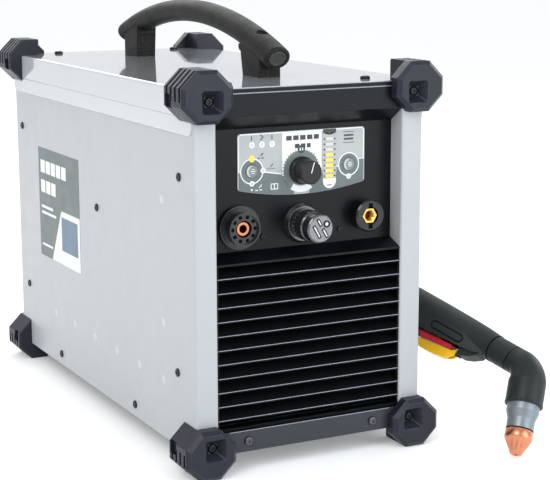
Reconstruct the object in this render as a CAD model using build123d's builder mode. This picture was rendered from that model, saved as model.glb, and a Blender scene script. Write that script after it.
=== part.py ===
from build123d import *

import os
from math import cos, radians, sin, tan

# Plasma cutter unit: a sheet-steel power source that stands on corner bumpers, with a hand torch
# resting in a cradle on its right side. Millimetres. The origin is on the floor under the middle
# of the case. +X is to the right seen from the front, +Y goes to the rear and +Z is up.

os.makedirs("parts", exist_ok=True)

# Case
WIDTH, DEPTH, HEIGHT = 250.0, 525.0, 355.0
FLOOR_GAP = 20.0
SHEET, COVER_SHEET, FASCIA_SHEET = 1.5, 1.2, 2.0
SIDE = WIDTH / 2
FRONT, REAR = -DEPTH / 2, DEPTH / 2
BOTTOM, TOP = FLOOR_GAP, FLOOR_GAP + HEIGHT
COVER_UNDER = TOP - COVER_SHEET
PILLAR_IN = 101.5  # inner edge of the front pillars, from the middle
PILLAR_RETURN = 23.0  # depth of the pillar's inward return
REAR_RETURN = 21.0
COVER_DROP = 43.5  # height of the cover's side flanges
STRIP_HEIGHT = 27.0  # black strip under the cover's front edge
RAIL_HEIGHT = 21.5
REAR_PANEL = REAR - SHEET  # outer face of the rear panel

# Recessed control panel
RECESS = 21.0
PANEL = FRONT + RECESS  # front face of the recessed panel
PANEL_BACK = PANEL + FASCIA_SHEET
PANEL_TOP, PANEL_BOTTOM = 334.0, 215.4
LEDGE_FRONT = 207.6
OVERLAY_THICK = 0.8
OVERLAY_FRONT = PANEL - OVERLAY_THICK
KNOB_AT = (-1.0, 290.0)  # (x, z) of each control's axis
MODE_AT, AIR_AT = (-54.9, 292.4), (52.1, 292.3)
TORCH_SOCKET_AT = (-69.0, 238.9)
REGULATOR_AT = (-1.7, 238.2)
EARTH_AT = (69.0, 241.0)
STATUS_AT = [(x, 317.7) for x in (-54.9, -44.0, -33.0)]
MODE_RING, LED_RADIUS = 12.0, 1.6
BAR_X, BAR_TOP, BAR_PITCH, BAR_COUNT = 30.4, 318.8, 5.24, 8
BUTTON_RADIUS, BUTTON_GAP = 6.8, 0.3
SHAFT_RADIUS, RUNNING_GAP = 3.0, 0.05

# Louvred grille
LOUVRE_TOP, LOUVRE_PITCH, LOUVRE_COUNT = 193.9, 14.0, 11
GRILLE_FRONT, GRILLE_BACK = FRONT + 2.0, FRONT + 14.0
GRILLE_TOP, GRILLE_BOTTOM = 205.4, 42.0

# Corner bumpers
BUMPER_X, BUMPER_WIDTH, BUMPER_HEIGHT = 115.0, 53.0, 50.0
BUMPER_FRONT, BUMPER_BACK = 14.0, 30.0  # reach in front of the case and behind its front
BUMPER_CORNER, BUMPER_EDGE = 16.0, 4.0
BUMPER_TOP_Z, BUMPER_BOTTOM_Z = 368.8, BUMPER_HEIGHT / 2
BUMPER_INNER = 105.0  # behind the front slab, the bumper is only this far in
SLOT_WIDTH, SLOT_PITCH, SLOT_COUNT = 4.2, 9.6, 4
POCKET = 22.0
BUMPER_SCREW_X, BUMPER_SCREW_TOP, BUMPER_SCREW_BOTTOM = 111.0, 364.0, 30.5
BUMPER_FLOOR = 3.0  # thickness left under the screw head

# Screws
SHANK, SHANK_HOLE = 2.0, 2.2
SIDE_SCREWS = [(-228.5, 290), (241.5, 290), (-6.5, 227), (-219.5, 96), (233.5, 96)]
SIDE_SCREWS += [(-106.5, 33), (121.5, 33)]
COVER_SCREWS = [(x, y) for x in (-76, 76) for y in (-232.5, 242.5)]
RAIL_SCREWS = [(-70.0, 30.7), (70.0, 30.7)]
FASCIA_SCREWS = [(-42.7, 227.4), (42.7, 227.4)]

# Handle
GRIP_HALF_WIDTH, GRIP_HALF_HEIGHT = 14.5, 12.0
GRIP_ENDS = ((-190.5, 394.5), (25.0, 434.0), (203.0, 401.1))  # (y, z) along the grip's middle
FOOT_HALF_WIDTH = 12.0
HANDLE_SCREW_Y = (-157.0, 169.0)
HANDLE_SCREW_SEAT = 410.0

# Rear panel
FAN_AT, FAN_SIZE, FAN_DEPTH, FAN_BORE = (0.0, 150.0), 120.0, 25.0, 57.0
SWITCH_AT, GLAND_AT, INLET_AT = (-66.0, 290.0), (66.0, 260.0), (66.0, 310.0)

# Torch: its handle runs from the elbow along TORCH_ALONG, its head along TORCH_HEAD
ELBOW = Vector(219.8, -323.3, 80.8)
TORCH_ALONG = Vector(-0.25, 0.935, 0.25).normalized()
TORCH_HEAD = Vector(-0.429, -0.366, -0.8325).normalized()
TORCH_ACROSS = TORCH_HEAD.cross(TORCH_ALONG).normalized()
TORCH_UP = TORCH_ACROSS.cross(TORCH_ALONG)
BEND_RADIUS = 24.0
NECK_RADIUS, SLEEVE_RADIUS = 14.3, 19.2
HANDLE_START, HANDLE_END = 47.3, 218.5
SLEEVE_END, CUP_END, TIP_END = 40.0, 66.0, 91.5  # along the head, from the elbow
TRIGGER_PIN, LEVER_PIN = (126.0, -13.0), (84.8, -24.5)
PIN_RADIUS, PIN_REACH = 1.5, 13.4
HANDLE_RISE = 1.4  # how far the handle's rear end lies above its own axis
CRADLE_ALONG, CRADLE_RADIUS, CRADLE_WALL = 201.5, 17.3, 3.7
CRADLE_PLATE = 2.5
CRADLE_SCREWS = [(-152.0, 125.0), (-112.0, 125.0)]


def save(piece, name):
    """Labels a finished piece and writes it as its own file."""
    piece.label = name
    export_step(piece, f"parts/{name}.step")


def facing_front(y):
    """A plane at depth y that faces the front, with its own x to the right and y up."""
    return Plane(origin=(0, y, 0), x_dir=(1, 0, 0), z_dir=(0, -1, 0))


def axis_at(centre):
    """The front-to-back axis through (x, z)."""
    return Axis((centre[0], 0, centre[1]), (0, 1, 0))


def turned(centre, outline):
    """The half outline, as (radius, y) corners, of a piece turned about a front-to-back axis."""
    with BuildSketch(Plane(origin=(centre[0], 0, centre[1]))) as half:
        with BuildLine():
            Polyline(*outline, close=True)
        make_face()
    return half.sketch


def octagon(plane, middle, grow=0.0):
    """A bumper's octagon about its (x, z) middle, grown or shrunk by the same width all round."""
    with BuildSketch(plane) as outline:
        with Locations(middle):
            Rectangle(BUMPER_WIDTH + 2 * grow, BUMPER_HEIGHT + 2 * grow)
        chamfer(outline.vertices(), BUMPER_CORNER + grow * (2 - 2**0.5))
    return outline.sketch


def screws(places, head_radius, head_height, shank_radius, length):
    """A group of cross-head screws. The z axis of each place points out of the screw's head."""
    with BuildPart() as one:
        Cylinder(head_radius, head_height, align=(Align.CENTER, Align.CENTER, Align.MIN))
        fillet(one.edges().sort_by(Axis.Z)[-1], 0.6 * head_height)
        Cylinder(shank_radius, length, align=(Align.CENTER, Align.CENTER, Align.MAX))
        with BuildSketch(Plane.XY.offset(head_height)):
            Rectangle(head_radius, 0.25 * head_radius)
            Rectangle(0.25 * head_radius, head_radius)
        extrude(amount=-0.45 * head_height, mode=Mode.SUBTRACT)
    with BuildPart() as group:
        with Locations(*places):
            add(one.part)
    return group.part


def front_place(x, y, z):
    return Location((x, y, z), (90, 0, 0))


def rear_place(x, y, z):
    return Location((x, y, z), (-90, 0, 0))


def right_place(x, y, z):
    return Location((x, y, z), (0, 90, 0))


def left_place(x, y, z):
    return Location((x, y, z), (0, -90, 0))


# ---------------------------------------------------------------- case

with BuildPart() as chassis_base:
    with BuildSketch(Plane.XY.offset(BOTTOM)):
        with Locations((0, (FRONT + REAR_PANEL - SHEET) / 2)):
            Rectangle(2 * (SIDE - SHEET), REAR_PANEL - SHEET - FRONT)
        with Locations((-SIDE, FRONT), (SIDE, FRONT)):
            Rectangle(2 * (SIDE - PILLAR_IN + 0.1), 2 * (PILLAR_RETURN + 1), mode=Mode.SUBTRACT)
    extrude(amount=SHEET)
    with BuildSketch(Plane.XY.offset(BOTTOM)):
        with Locations((SIDE - 1.5 * SHEET, 10), (-SIDE + 1.5 * SHEET, 10)):
            Rectangle(SHEET, 480)
    extrude(amount=25)
    # The front flange is the rail under the grille.
    with BuildSketch(facing_front(FRONT)):
        with Locations((0, BOTTOM + RAIL_HEIGHT / 2)):
            Rectangle(2 * PILLAR_IN - 0.2, RAIL_HEIGHT)
    extrude(amount=-SHEET)
    with Locations(*[front_place(x, FRONT, z) for x, z in RAIL_SCREWS]):
        Hole(SHANK_HOLE, depth=5)
    low_screws = [(y, z) for y, z in SIDE_SCREWS if z < 45]
    with Locations(*[right_place(SIDE, y, z) for y, z in low_screws]):
        Hole(SHANK_HOLE, depth=5)
    with Locations(*[left_place(-SIDE, y, z) for y, z in low_screws]):
        Hole(SHANK_HOLE, depth=5)
save(chassis_base.part, "chassis_base")

with BuildPart() as right_side_panel:
    with BuildSketch(Plane.XY.offset(BOTTOM)) as bent:
        with BuildLine():
            Polyline(
                (SIDE - REAR_RETURN, REAR),
                (SIDE, REAR),
                (SIDE, FRONT),
                (PILLAR_IN, FRONT),
                (PILLAR_IN, FRONT + PILLAR_RETURN),
                (PILLAR_IN + SHEET, FRONT + PILLAR_RETURN),
                (PILLAR_IN + SHEET, FRONT + SHEET),
                (SIDE - SHEET, FRONT + SHEET),
                (SIDE - SHEET, REAR - SHEET),
                (SIDE - REAR_RETURN, REAR - SHEET),
                close=True,
            )
        make_face()
        fillet(bent.vertices().group_by(Axis.Y)[1], 1.0)
        fillet(bent.vertices().group_by(Axis.Y)[0], 2.5)
    extrude(amount=COVER_UNDER - BOTTOM)
    # The pillar stops under the black strip.
    with Locations((SIDE, FRONT, TOP - STRIP_HEIGHT)):
        Box(60, 2 * PILLAR_RETURN + 2, 60, align=(Align.CENTER, Align.CENTER, Align.MIN), mode=Mode.SUBTRACT)
    with Locations(*[right_place(SIDE, y, z) for y, z in SIDE_SCREWS + CRADLE_SCREWS]):
        Hole(SHANK_HOLE, depth=5)
    with Locations(front_place(BUMPER_SCREW_X, FRONT, BUMPER_SCREW_BOTTOM)):
        Hole(SHANK_HOLE, depth=5)
    with Locations(*[rear_place(BUMPER_SCREW_X, REAR, z) for z in (BUMPER_SCREW_TOP, BUMPER_SCREW_BOTTOM)]):
        Hole(SHANK_HOLE, depth=5)
save(right_side_panel.part, "right_side_panel")

with BuildPart() as left_side_panel:
    add(mirror(right_side_panel.part, about=Plane.YZ))
    # No cradle on this side: its two screw holes are closed.
    with Locations(*[left_place(-SIDE, y, z) for y, z in CRADLE_SCREWS]):
        Cylinder(SHANK_HOLE, SHEET, align=(Align.CENTER, Align.CENTER, Align.MAX))
save(left_side_panel.part, "left_side_panel")

with BuildPart() as top_cover:
    with BuildSketch(Plane(origin=(0, REAR, 0), x_dir=(1, 0, 0), z_dir=(0, -1, 0))) as bent:
        with Locations((0, TOP - COVER_DROP / 2)):
            Rectangle(2 * (SIDE + COVER_SHEET), COVER_DROP)
        fillet(bent.vertices().group_by(Axis.Y)[-1], 2.5)
        with Locations((0, COVER_UNDER - COVER_DROP / 2)):
            Rectangle(2 * SIDE, COVER_DROP, mode=Mode.SUBTRACT)
    extrude(amount=DEPTH - 2.5)
    # Lower flange corners are rounded.
    fillet(top_cover.edges().filter_by(Axis.X).group_by(Axis.Z)[0], 8.0)
    # A crease runs along each flange.
    with BuildSketch(Plane(origin=(0, REAR + 5, 0), x_dir=(1, 0, 0), z_dir=(0, -1, 0))):
        with Locations((SIDE + COVER_SHEET, TOP - 27), (-SIDE - COVER_SHEET, TOP - 27)):
            Rectangle(0.7, 0.7, rotation=45)
    extrude(amount=DEPTH + 10, mode=Mode.SUBTRACT)
    with Locations(*[(x, y, TOP) for x, y in COVER_SCREWS]):
        Hole(SHANK_HOLE, depth=5)
    with Locations(*[(0, y, TOP) for y in HANDLE_SCREW_Y]):
        Hole(SHANK_HOLE + 0.1, depth=5)
save(top_cover.part, "top_cover")

with BuildPart() as front_fascia:
    # Strip, sloped visor, recessed panel and sloped ledge are one folded sheet.
    fold_back = FRONT + 40
    strip_top, strip_bottom = COVER_UNDER - 0.3, TOP - STRIP_HEIGHT
    with BuildSketch(Plane.YZ):
        with BuildLine():
            Polyline(
                (FRONT, strip_top),
                (FRONT, strip_bottom),
                (PANEL, PANEL_TOP),
                (PANEL, PANEL_BOTTOM),
                (GRILLE_FRONT, LEDGE_FRONT),
                (GRILLE_FRONT, LEDGE_FRONT - 2),
                (PANEL_BACK, PANEL_BOTTOM - 1.3),
                (PANEL_BACK, PANEL_TOP + 1.3),
                (FRONT + FASCIA_SHEET, strip_bottom + 1.3),
                (FRONT + FASCIA_SHEET, strip_top - FASCIA_SHEET),
                (fold_back, strip_top - FASCIA_SHEET),
                (fold_back, strip_top),
                close=True,
            )
        make_face()
    extrude(amount=PILLAR_IN - 0.1, both=True)
    # The strip and its top fold reach over the pillars to the bumpers.
    with BuildSketch(Plane.YZ):
        with BuildLine():
            Polyline(
                (FRONT, strip_top),
                (FRONT, strip_bottom),
                (FRONT + FASCIA_SHEET, strip_bottom),
                (FRONT + FASCIA_SHEET, strip_top - FASCIA_SHEET),
                (fold_back, strip_top - FASCIA_SHEET),
                (fold_back, strip_top),
                close=True,
            )
        make_face()
    extrude(amount=SIDE - SHEET - 0.1, both=True)
    with Locations(*[(x, y, TOP) for x, y in COVER_SCREWS if y < 0]):
        Hole(SHANK_HOLE, depth=8)
    screw_places = [front_place(x, FRONT, BUMPER_SCREW_TOP) for x in (-BUMPER_SCREW_X, BUMPER_SCREW_X)]
    with Locations(*screw_places):
        Hole(SHANK_HOLE, depth=5)
    for (x, z), radius in (
        (TORCH_SOCKET_AT, 15.0),
        (REGULATOR_AT, 12.8),
        (EARTH_AT, 11.9),
        (KNOB_AT, 4.6),
        (MODE_AT, BUTTON_RADIUS + BUTTON_GAP),
        (AIR_AT, BUTTON_RADIUS + BUTTON_GAP),
    ):
        with Locations(front_place(x, PANEL, z)):
            Hole(radius, depth=5)
    with Locations(*[front_place(x, PANEL, z) for x, z in FASCIA_SCREWS]):
        Hole(1.6, depth=5)
save(front_fascia.part, "front_fascia")

with BuildPart() as front_grille:
    for index in range(LOUVRE_COUNT):
        edge = LOUVRE_TOP - index * LOUVRE_PITCH
        with BuildSketch(Plane.YZ):
            with BuildLine():
                Polyline(
                    (GRILLE_FRONT, edge - 1.8),
                    (GRILLE_FRONT, edge),
                    (GRILLE_BACK, edge + 10),
                    (GRILLE_BACK, edge + 8),
                    close=True,
                )
            make_face()
        extrude(amount=PILLAR_IN - 0.3, both=True)
    # Behind the louvres, top and bottom bars, side bars and two ribs tie them together.
    middle = (GRILLE_TOP + GRILLE_BOTTOM) / 2
    with BuildSketch(facing_front(GRILLE_BACK - 0.6)):
        with Locations((0, middle)):
            Rectangle(2 * PILLAR_IN - 0.6, GRILLE_TOP - GRILLE_BOTTOM)
        for x, width in ((-66.6, 61.0), (0, 64.0), (66.6, 61.0)):
            with Locations((x, middle)):
                Rectangle(width, GRILLE_TOP - GRILLE_BOTTOM - 8, mode=Mode.SUBTRACT)
    extrude(amount=-3.6)
    with BuildSketch(facing_front(GRILLE_BACK)):
        with Locations((0, GRILLE_BOTTOM + 1.5)):
            Rectangle(2 * PILLAR_IN - 0.6, 3)
        with Locations((PILLAR_IN - 1, middle), (1 - PILLAR_IN, middle)):
            Rectangle(1.4, GRILLE_TOP - GRILLE_BOTTOM)
    extrude(amount=GRILLE_BACK - GRILLE_FRONT)
save(front_grille.part, "front_grille")

with BuildPart() as rear_panel:
    with BuildSketch(facing_front(REAR_PANEL)):
        with Locations((0, (BOTTOM + COVER_UNDER) / 2)):
            Rectangle(2 * (SIDE - SHEET) - 0.2, COVER_UNDER - BOTTOM - 0.2)
        with Locations(FAN_AT):
            Circle(FAN_BORE, mode=Mode.SUBTRACT)
        with Locations(SWITCH_AT):
            Circle(13.9, mode=Mode.SUBTRACT)
        with Locations(GLAND_AT):
            Circle(9.9, mode=Mode.SUBTRACT)
        with Locations(INLET_AT):
            Circle(6.4, mode=Mode.SUBTRACT)
    extrude(amount=SHEET)
    # Top flange that takes the cover screws.
    with BuildSketch(Plane.XY.offset(COVER_UNDER - 0.1)):
        with Locations((0, REAR_PANEL - 16)):
            Rectangle(2 * (SIDE - SHEET) - 0.2, 32)
        with Locations(*[(x, y) for x, y in COVER_SCREWS if y > 0]):
            Circle(SHANK_HOLE, mode=Mode.SUBTRACT)
    extrude(amount=-SHEET)
    screw_places = [
        rear_place(x, REAR_PANEL, z)
        for x in (-BUMPER_SCREW_X, BUMPER_SCREW_X)
        for z in (BUMPER_SCREW_TOP, BUMPER_SCREW_BOTTOM)
    ]
    with Locations(*screw_places):
        Hole(SHANK_HOLE, depth=5)
save(rear_panel.part, "rear_panel")

# ---------------------------------------------------------------- bumpers


def corner_bumper(middle_z, case_z, screw_z, up):
    """The front right corner block. up is 1 at the top corner and -1 at the bottom one."""
    middle = (BUMPER_X, middle_z)
    side = SIDE + (COVER_SHEET if up > 0 else 0)
    with BuildPart() as block:
        extrude(octagon(facing_front(FRONT + BUMPER_BACK), middle), amount=BUMPER_BACK + BUMPER_FRONT)
        chamfer(block.faces().sort_by(Axis.Y)[0].edges(), BUMPER_EDGE)
        chamfer(block.faces().sort_by(Axis.Y)[-1].edges(), 1.5)
        # The case corner sits in a notch behind the front slab.
        with BuildSketch(facing_front(FRONT + BUMPER_BACK + 5)):
            with Locations((side - 100, case_z - up * 100)):
                Rectangle(200, 200)
        extrude(amount=BUMPER_BACK + 5, mode=Mode.SUBTRACT)
        with BuildSketch(facing_front(FRONT + BUMPER_BACK + 5)):
            with Locations((BUMPER_INNER - 50, middle_z)):
                Rectangle(100, 100)
        extrude(amount=BUMPER_BACK + 3, mode=Mode.SUBTRACT)
        # Slots between ribs go round the outer side.
        for slot in range(SLOT_COUNT):
            slot_back = FRONT - 6.7 + SLOT_WIDTH / 2 + SLOT_PITCH * slot
            with BuildSketch(facing_front(slot_back)):
                add(octagon(facing_front(slot_back), middle, 3))
                add(octagon(facing_front(slot_back), middle, -5), mode=Mode.SUBTRACT)
                with Locations((BUMPER_X - 56, middle_z), (BUMPER_X, middle_z - up * 54)):
                    Rectangle(100, 100, mode=Mode.SUBTRACT)
            extrude(amount=SLOT_WIDTH, mode=Mode.SUBTRACT)
        # A pocket low on the outer side, behind the slots' ends.
        with BuildSketch(Plane(origin=(BUMPER_X + 40, 0, 0), x_dir=(0, 1, 0), z_dir=(1, 0, 0))) as hollow:
            with Locations((FRONT + 19.5, middle_z - up * 4)):
                Rectangle(14, 13)
            fillet(hollow.vertices(), 1.5)
        extrude(amount=-(40 - BUMPER_WIDTH / 2 + 4.5), mode=Mode.SUBTRACT)
        # A square funnel leads to the screw.
        for y, size in ((FRONT - BUMPER_FRONT, POCKET), (FRONT - 5.0, 9.5)):
            with BuildSketch(facing_front(y)) as mouth:
                with Locations((BUMPER_SCREW_X, screw_z)):
                    Rectangle(size, size)
                fillet(mouth.vertices(), 0.12 * size)
        loft(mode=Mode.SUBTRACT)
        with Locations(front_place(BUMPER_SCREW_X, FRONT - BUMPER_FRONT, screw_z)):
            CounterBoreHole(SHANK_HOLE, 5.0, BUMPER_FRONT - BUMPER_FLOOR, depth=BUMPER_FRONT + 1)
    return block.part


bumper_shapes = {
    "top": corner_bumper(BUMPER_TOP_Z, TOP, BUMPER_SCREW_TOP, 1),
    "bottom": corner_bumper(BUMPER_BOTTOM_Z, BOTTOM, BUMPER_SCREW_BOTTOM, -1),
}
for level, front_right in bumper_shapes.items():
    rear_right = mirror(front_right, about=Plane.XZ)
    save(front_right, f"bumper_front_{level}_right")
    save(rear_right, f"bumper_rear_{level}_right")
    save(mirror(front_right, about=Plane.YZ), f"bumper_front_{level}_left")
    save(mirror(rear_right, about=Plane.YZ), f"bumper_rear_{level}_left")

# ---------------------------------------------------------------- handle

with BuildPart() as handle_grip:
    with BuildLine() as grip_line:
        ThreePointArc(*[(0, y, z) for y, z in GRIP_ENDS])
    with BuildSketch(Plane(origin=grip_line.line @ 0, x_dir=(1, 0, 0), z_dir=grip_line.line % 0)):
        Ellipse(GRIP_HALF_WIDTH, GRIP_HALF_HEIGHT)
    sweep()
    fillet(handle_grip.edges().filter_by(GeomType.ELLIPSE), 2.5)
    with Locations(*[(0, y, HANDLE_SCREW_SEAT) for y in HANDLE_SCREW_Y]):
        Cylinder(6.0, 40, align=(Align.CENTER, Align.CENTER, Align.MIN), mode=Mode.SUBTRACT)
        Cylinder(SHANK_HOLE + 0.1, 60, mode=Mode.SUBTRACT)
save(handle_grip.part, "handle_grip")


def handle_foot(outline, screw_y):
    """A block under the grip, from its (y, z) outline, cut away where the grip lies on it."""
    with BuildPart() as foot:
        with BuildSketch(Plane.YZ):
            with BuildLine():
                Polyline(*outline, close=True)
            make_face()
        extrude(amount=FOOT_HALF_WIDTH, both=True)
        fillet(foot.edges().filter_by(Axis.Z), 1.5)
        with BuildLine() as grip_line:
            ThreePointArc(*[(0, y, z) for y, z in GRIP_ENDS])
        with BuildSketch(Plane(origin=grip_line.line @ 0, x_dir=(1, 0, 0), z_dir=grip_line.line % 0)):
            Ellipse(GRIP_HALF_WIDTH, GRIP_HALF_HEIGHT)
        sweep(mode=Mode.SUBTRACT)
        with Locations((0, screw_y, TOP)):
            Cylinder(SHANK_HOLE + 0.1, 200, mode=Mode.SUBTRACT)
    return foot.part.solids().sort_by(Axis.Z)[0]


front_foot = handle_foot([(-174, TOP), (-136, TOP), (-127, 420), (-174, 404)], HANDLE_SCREW_Y[0])
rear_foot = handle_foot([(150.5, TOP), (187.5, TOP), (187.5, 400), (146, 420)], HANDLE_SCREW_Y[1])
save(front_foot, "handle_foot_front")
save(rear_foot, "handle_foot_rear")

# ---------------------------------------------------------------- screws

side_places = [right_place(SIDE, y, z) for y, z in SIDE_SCREWS]
side_places += [left_place(-SIDE, y, z) for y, z in SIDE_SCREWS]
side_places += [right_place(SIDE + CRADLE_PLATE, y, z) for y, z in CRADLE_SCREWS]
save(screws(side_places, 4.2, 1.8, SHANK, 8), "side_panel_screws")

cover_places = [Location((x, y, TOP)) for x, y in COVER_SCREWS]
save(screws(cover_places, 5.0, 3.0, SHANK, 9), "cover_screws")

bumper_places = []
for x in (-BUMPER_SCREW_X, BUMPER_SCREW_X):
    for z in (BUMPER_SCREW_TOP, BUMPER_SCREW_BOTTOM):
        bumper_places.append(front_place(x, FRONT - BUMPER_FLOOR, z))
        bumper_places.append(rear_place(x, REAR + BUMPER_FLOOR, z))
save(screws(bumper_places, 4.3, 2.8, SHANK, 9), "bumper_screws")

rail_places = [front_place(x, FRONT, z) for x, z in RAIL_SCREWS]
save(screws(rail_places, 4.4, 2.6, SHANK, 6), "rail_screws")

fascia_places = [front_place(x, PANEL, z) for x, z in FASCIA_SCREWS]
save(screws(fascia_places, 3.0, 1.8, 1.5, 7), "fascia_screws")

handle_places = [Location((0, y, HANDLE_SCREW_SEAT)) for y in HANDLE_SCREW_Y]
save(screws(handle_places, 5.0, 3.5, SHANK, 42), "handle_screws")

# ---------------------------------------------------------------- controls

led_places = STATUS_AT + [
    (MODE_AT[0], MODE_AT[1] + MODE_RING),
    (MODE_AT[0] + MODE_RING, MODE_AT[1]),
    (MODE_AT[0], MODE_AT[1] - MODE_RING),
    (AIR_AT[0], AIR_AT[1] - MODE_RING),
]
bar_places = [(BAR_X, BAR_TOP - BAR_PITCH * index) for index in range(BAR_COUNT)]

with BuildPart() as control_overlay:
    with BuildSketch(facing_front(PANEL)) as outline:
        with BuildLine():
            Polyline((70, 274.5), (70, 329), (-70, 329), (-70, 274.5))
            ThreePointArc((-70, 274.5), (0, 266.5), (70, 274.5))
        make_face()
        fillet(outline.vertices(), 3.0)
        with Locations(KNOB_AT):
            Circle(5.0, mode=Mode.SUBTRACT)
        with Locations(MODE_AT, AIR_AT):
            Circle(BUTTON_RADIUS + BUTTON_GAP, mode=Mode.SUBTRACT)
        with Locations(*led_places):
            Circle(LED_RADIUS, mode=Mode.SUBTRACT)
        with Locations(*bar_places):
            Rectangle(8.0, 3.0, mode=Mode.SUBTRACT)
    extrude(amount=OVERLAY_THICK)
save(control_overlay.part, "control_overlay")

with BuildPart() as status_leds:
    with Locations(*[front_place(x, PANEL, z) for x, z in led_places]):
        Cylinder(LED_RADIUS, OVERLAY_THICK + 0.3, align=(Align.CENTER, Align.CENTER, Align.MIN))
save(status_leds.part, "status_leds")

with BuildPart() as pressure_leds:
    with BuildSketch(facing_front(PANEL)):
        with Locations(*bar_places):
            Rectangle(8.0, 3.0)
    extrude(amount=OVERLAY_THICK + 0.2)
save(pressure_leds.part, "pressure_leds")

with BuildPart() as current_knob:
    front_face = FRONT - 1
    profile = turned(
        KNOB_AT,
        [
            (0, front_face),
            (10.6, front_face),
            (11.6, front_face + 1),
            (12.2, PANEL - 7),
            (13.5, PANEL - 5.5),
            (13.5, OVERLAY_FRONT - 0.5),
            (SHAFT_RADIUS, OVERLAY_FRONT - 0.5),
            (SHAFT_RADIUS, FRONT + 5),
            (0, FRONT + 5),
        ],
    )
    revolve(profile, axis=axis_at(KNOB_AT))
    with BuildSketch(facing_front(PANEL - 7.5)):
        with Locations(KNOB_AT):
            with PolarLocations(12.9, 20):
                Circle(1.1)
    extrude(amount=30, mode=Mode.SUBTRACT)
save(current_knob.part, "current_knob")

with BuildPart() as potentiometer_shaft:
    with BuildSketch(facing_front(PANEL + 26)):
        with Locations(KNOB_AT):
            Circle(SHAFT_RADIUS)
    extrude(amount=PANEL + 26 - FRONT - 5)
save(potentiometer_shaft.part, "potentiometer_shaft")

with BuildPart() as potentiometer_body:
    bush = SHAFT_RADIUS + RUNNING_GAP
    profile = turned(
        KNOB_AT,
        [
            (bush, OVERLAY_FRONT + 0.2),
            (4.5, OVERLAY_FRONT + 0.2),
            (4.5, PANEL_BACK),
            (8.0, PANEL_BACK),
            (8.0, PANEL + 18),
            (bush, PANEL + 18),
        ],
    )
    revolve(profile, axis=axis_at(KNOB_AT))
save(potentiometer_body.part, "potentiometer_body")


def push_button(centre):
    """A round key with a flange behind the panel that keeps it in."""
    front = OVERLAY_FRONT - 1.3
    outline = [
        (0, front),
        (BUTTON_RADIUS - 0.8, front),
        (BUTTON_RADIUS, front + 0.8),
        (BUTTON_RADIUS, PANEL_BACK + 0.1),
        (8.2, PANEL_BACK + 0.1),
        (8.2, PANEL_BACK + 1.1),
        (3.0, PANEL_BACK + 1.1),
        (3.0, PANEL_BACK + 2.2),
        (0, PANEL_BACK + 2.2),
    ]
    with BuildPart() as button:
        revolve(turned(centre, outline), axis=axis_at(centre))
    return button.part


save(push_button(MODE_AT), "mode_button")
save(push_button(AIR_AT), "air_button")

with BuildPart() as control_board:
    board_front = PANEL + 9.5
    with BuildSketch(facing_front(board_front + 1.6)):
        with Locations((0, 298)):
            Rectangle(150, 68)
        with Locations(KNOB_AT):
            Circle(8.6, mode=Mode.SUBTRACT)
    extrude(amount=1.6)
    # Stand-offs to the panel, and a switch under each button.
    with BuildSketch(facing_front(board_front)):
        with Locations(*[(x, z) for x in (-71, 71) for z in (268, 328)]):
            Circle(2.5)
    extrude(amount=board_front - PANEL_BACK)
    with BuildSketch(facing_front(board_front)):
        with Locations(MODE_AT, AIR_AT):
            Rectangle(6, 6)
    extrude(amount=3.6)
    with BuildSketch(facing_front(board_front + 1.6)):
        with Locations((-40, 310), (45, 315), (0, 318)):
            Rectangle(22, 14)
    extrude(amount=-3)
save(control_board.part, "control_board")

# ---------------------------------------------------------------- connectors

SOCKET_PINS, SOCKET_PIN_CIRCLE = 10, 12.0
with BuildPart() as torch_socket_shell:
    profile = turned(
        TORCH_SOCKET_AT,
        [
            (8.2, FRONT + 9),
            (14.8, FRONT + 9),
            (14.8, FRONT + 6),
            (16.5, FRONT + 6),
            (16.5, FRONT + 15),
            (19.5, FRONT + 15),
            (19.5, FRONT + 17),
            (21.4, FRONT + 17),
            (21.4, PANEL),
            (15.0, PANEL),
            (15.0, FRONT + 45),
            (6.5, FRONT + 45),
            (6.5, FRONT + 25),
            (8.2, FRONT + 25),
        ],
    )
    revolve(profile, axis=axis_at(TORCH_SOCKET_AT))
    with BuildSketch(facing_front(FRONT + 50)):
        with Locations(TORCH_SOCKET_AT):
            with PolarLocations(SOCKET_PIN_CIRCLE, SOCKET_PINS):
                Circle(2.0)
    extrude(amount=50, mode=Mode.SUBTRACT)
save(torch_socket_shell.part, "torch_socket_shell")

with BuildPart() as torch_socket_contacts:
    with BuildSketch(facing_front(FRONT + 48)):
        with Locations(TORCH_SOCKET_AT):
            Circle(6.5)
            Circle(4.0, mode=Mode.SUBTRACT)
            with PolarLocations(SOCKET_PIN_CIRCLE, SOCKET_PINS):
                Circle(2.0)
                Circle(1.1, mode=Mode.SUBTRACT)
    extrude(amount=37)
save(torch_socket_contacts.part, "torch_socket_contacts")

STEM_RADIUS, NECK_OF_REGULATOR = 4.0, 12.8
with BuildPart() as regulator_collar:
    profile = turned(
        REGULATOR_AT,
        [
            (NECK_OF_REGULATOR, PANEL),
            (19.6, PANEL),
            (19.6, FRONT + 17),
            (17.2, FRONT + 12.6),
            (NECK_OF_REGULATOR, FRONT + 12.6),
        ],
    )
    revolve(profile, axis=axis_at(REGULATOR_AT))
save(regulator_collar.part, "regulator_collar")

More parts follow.
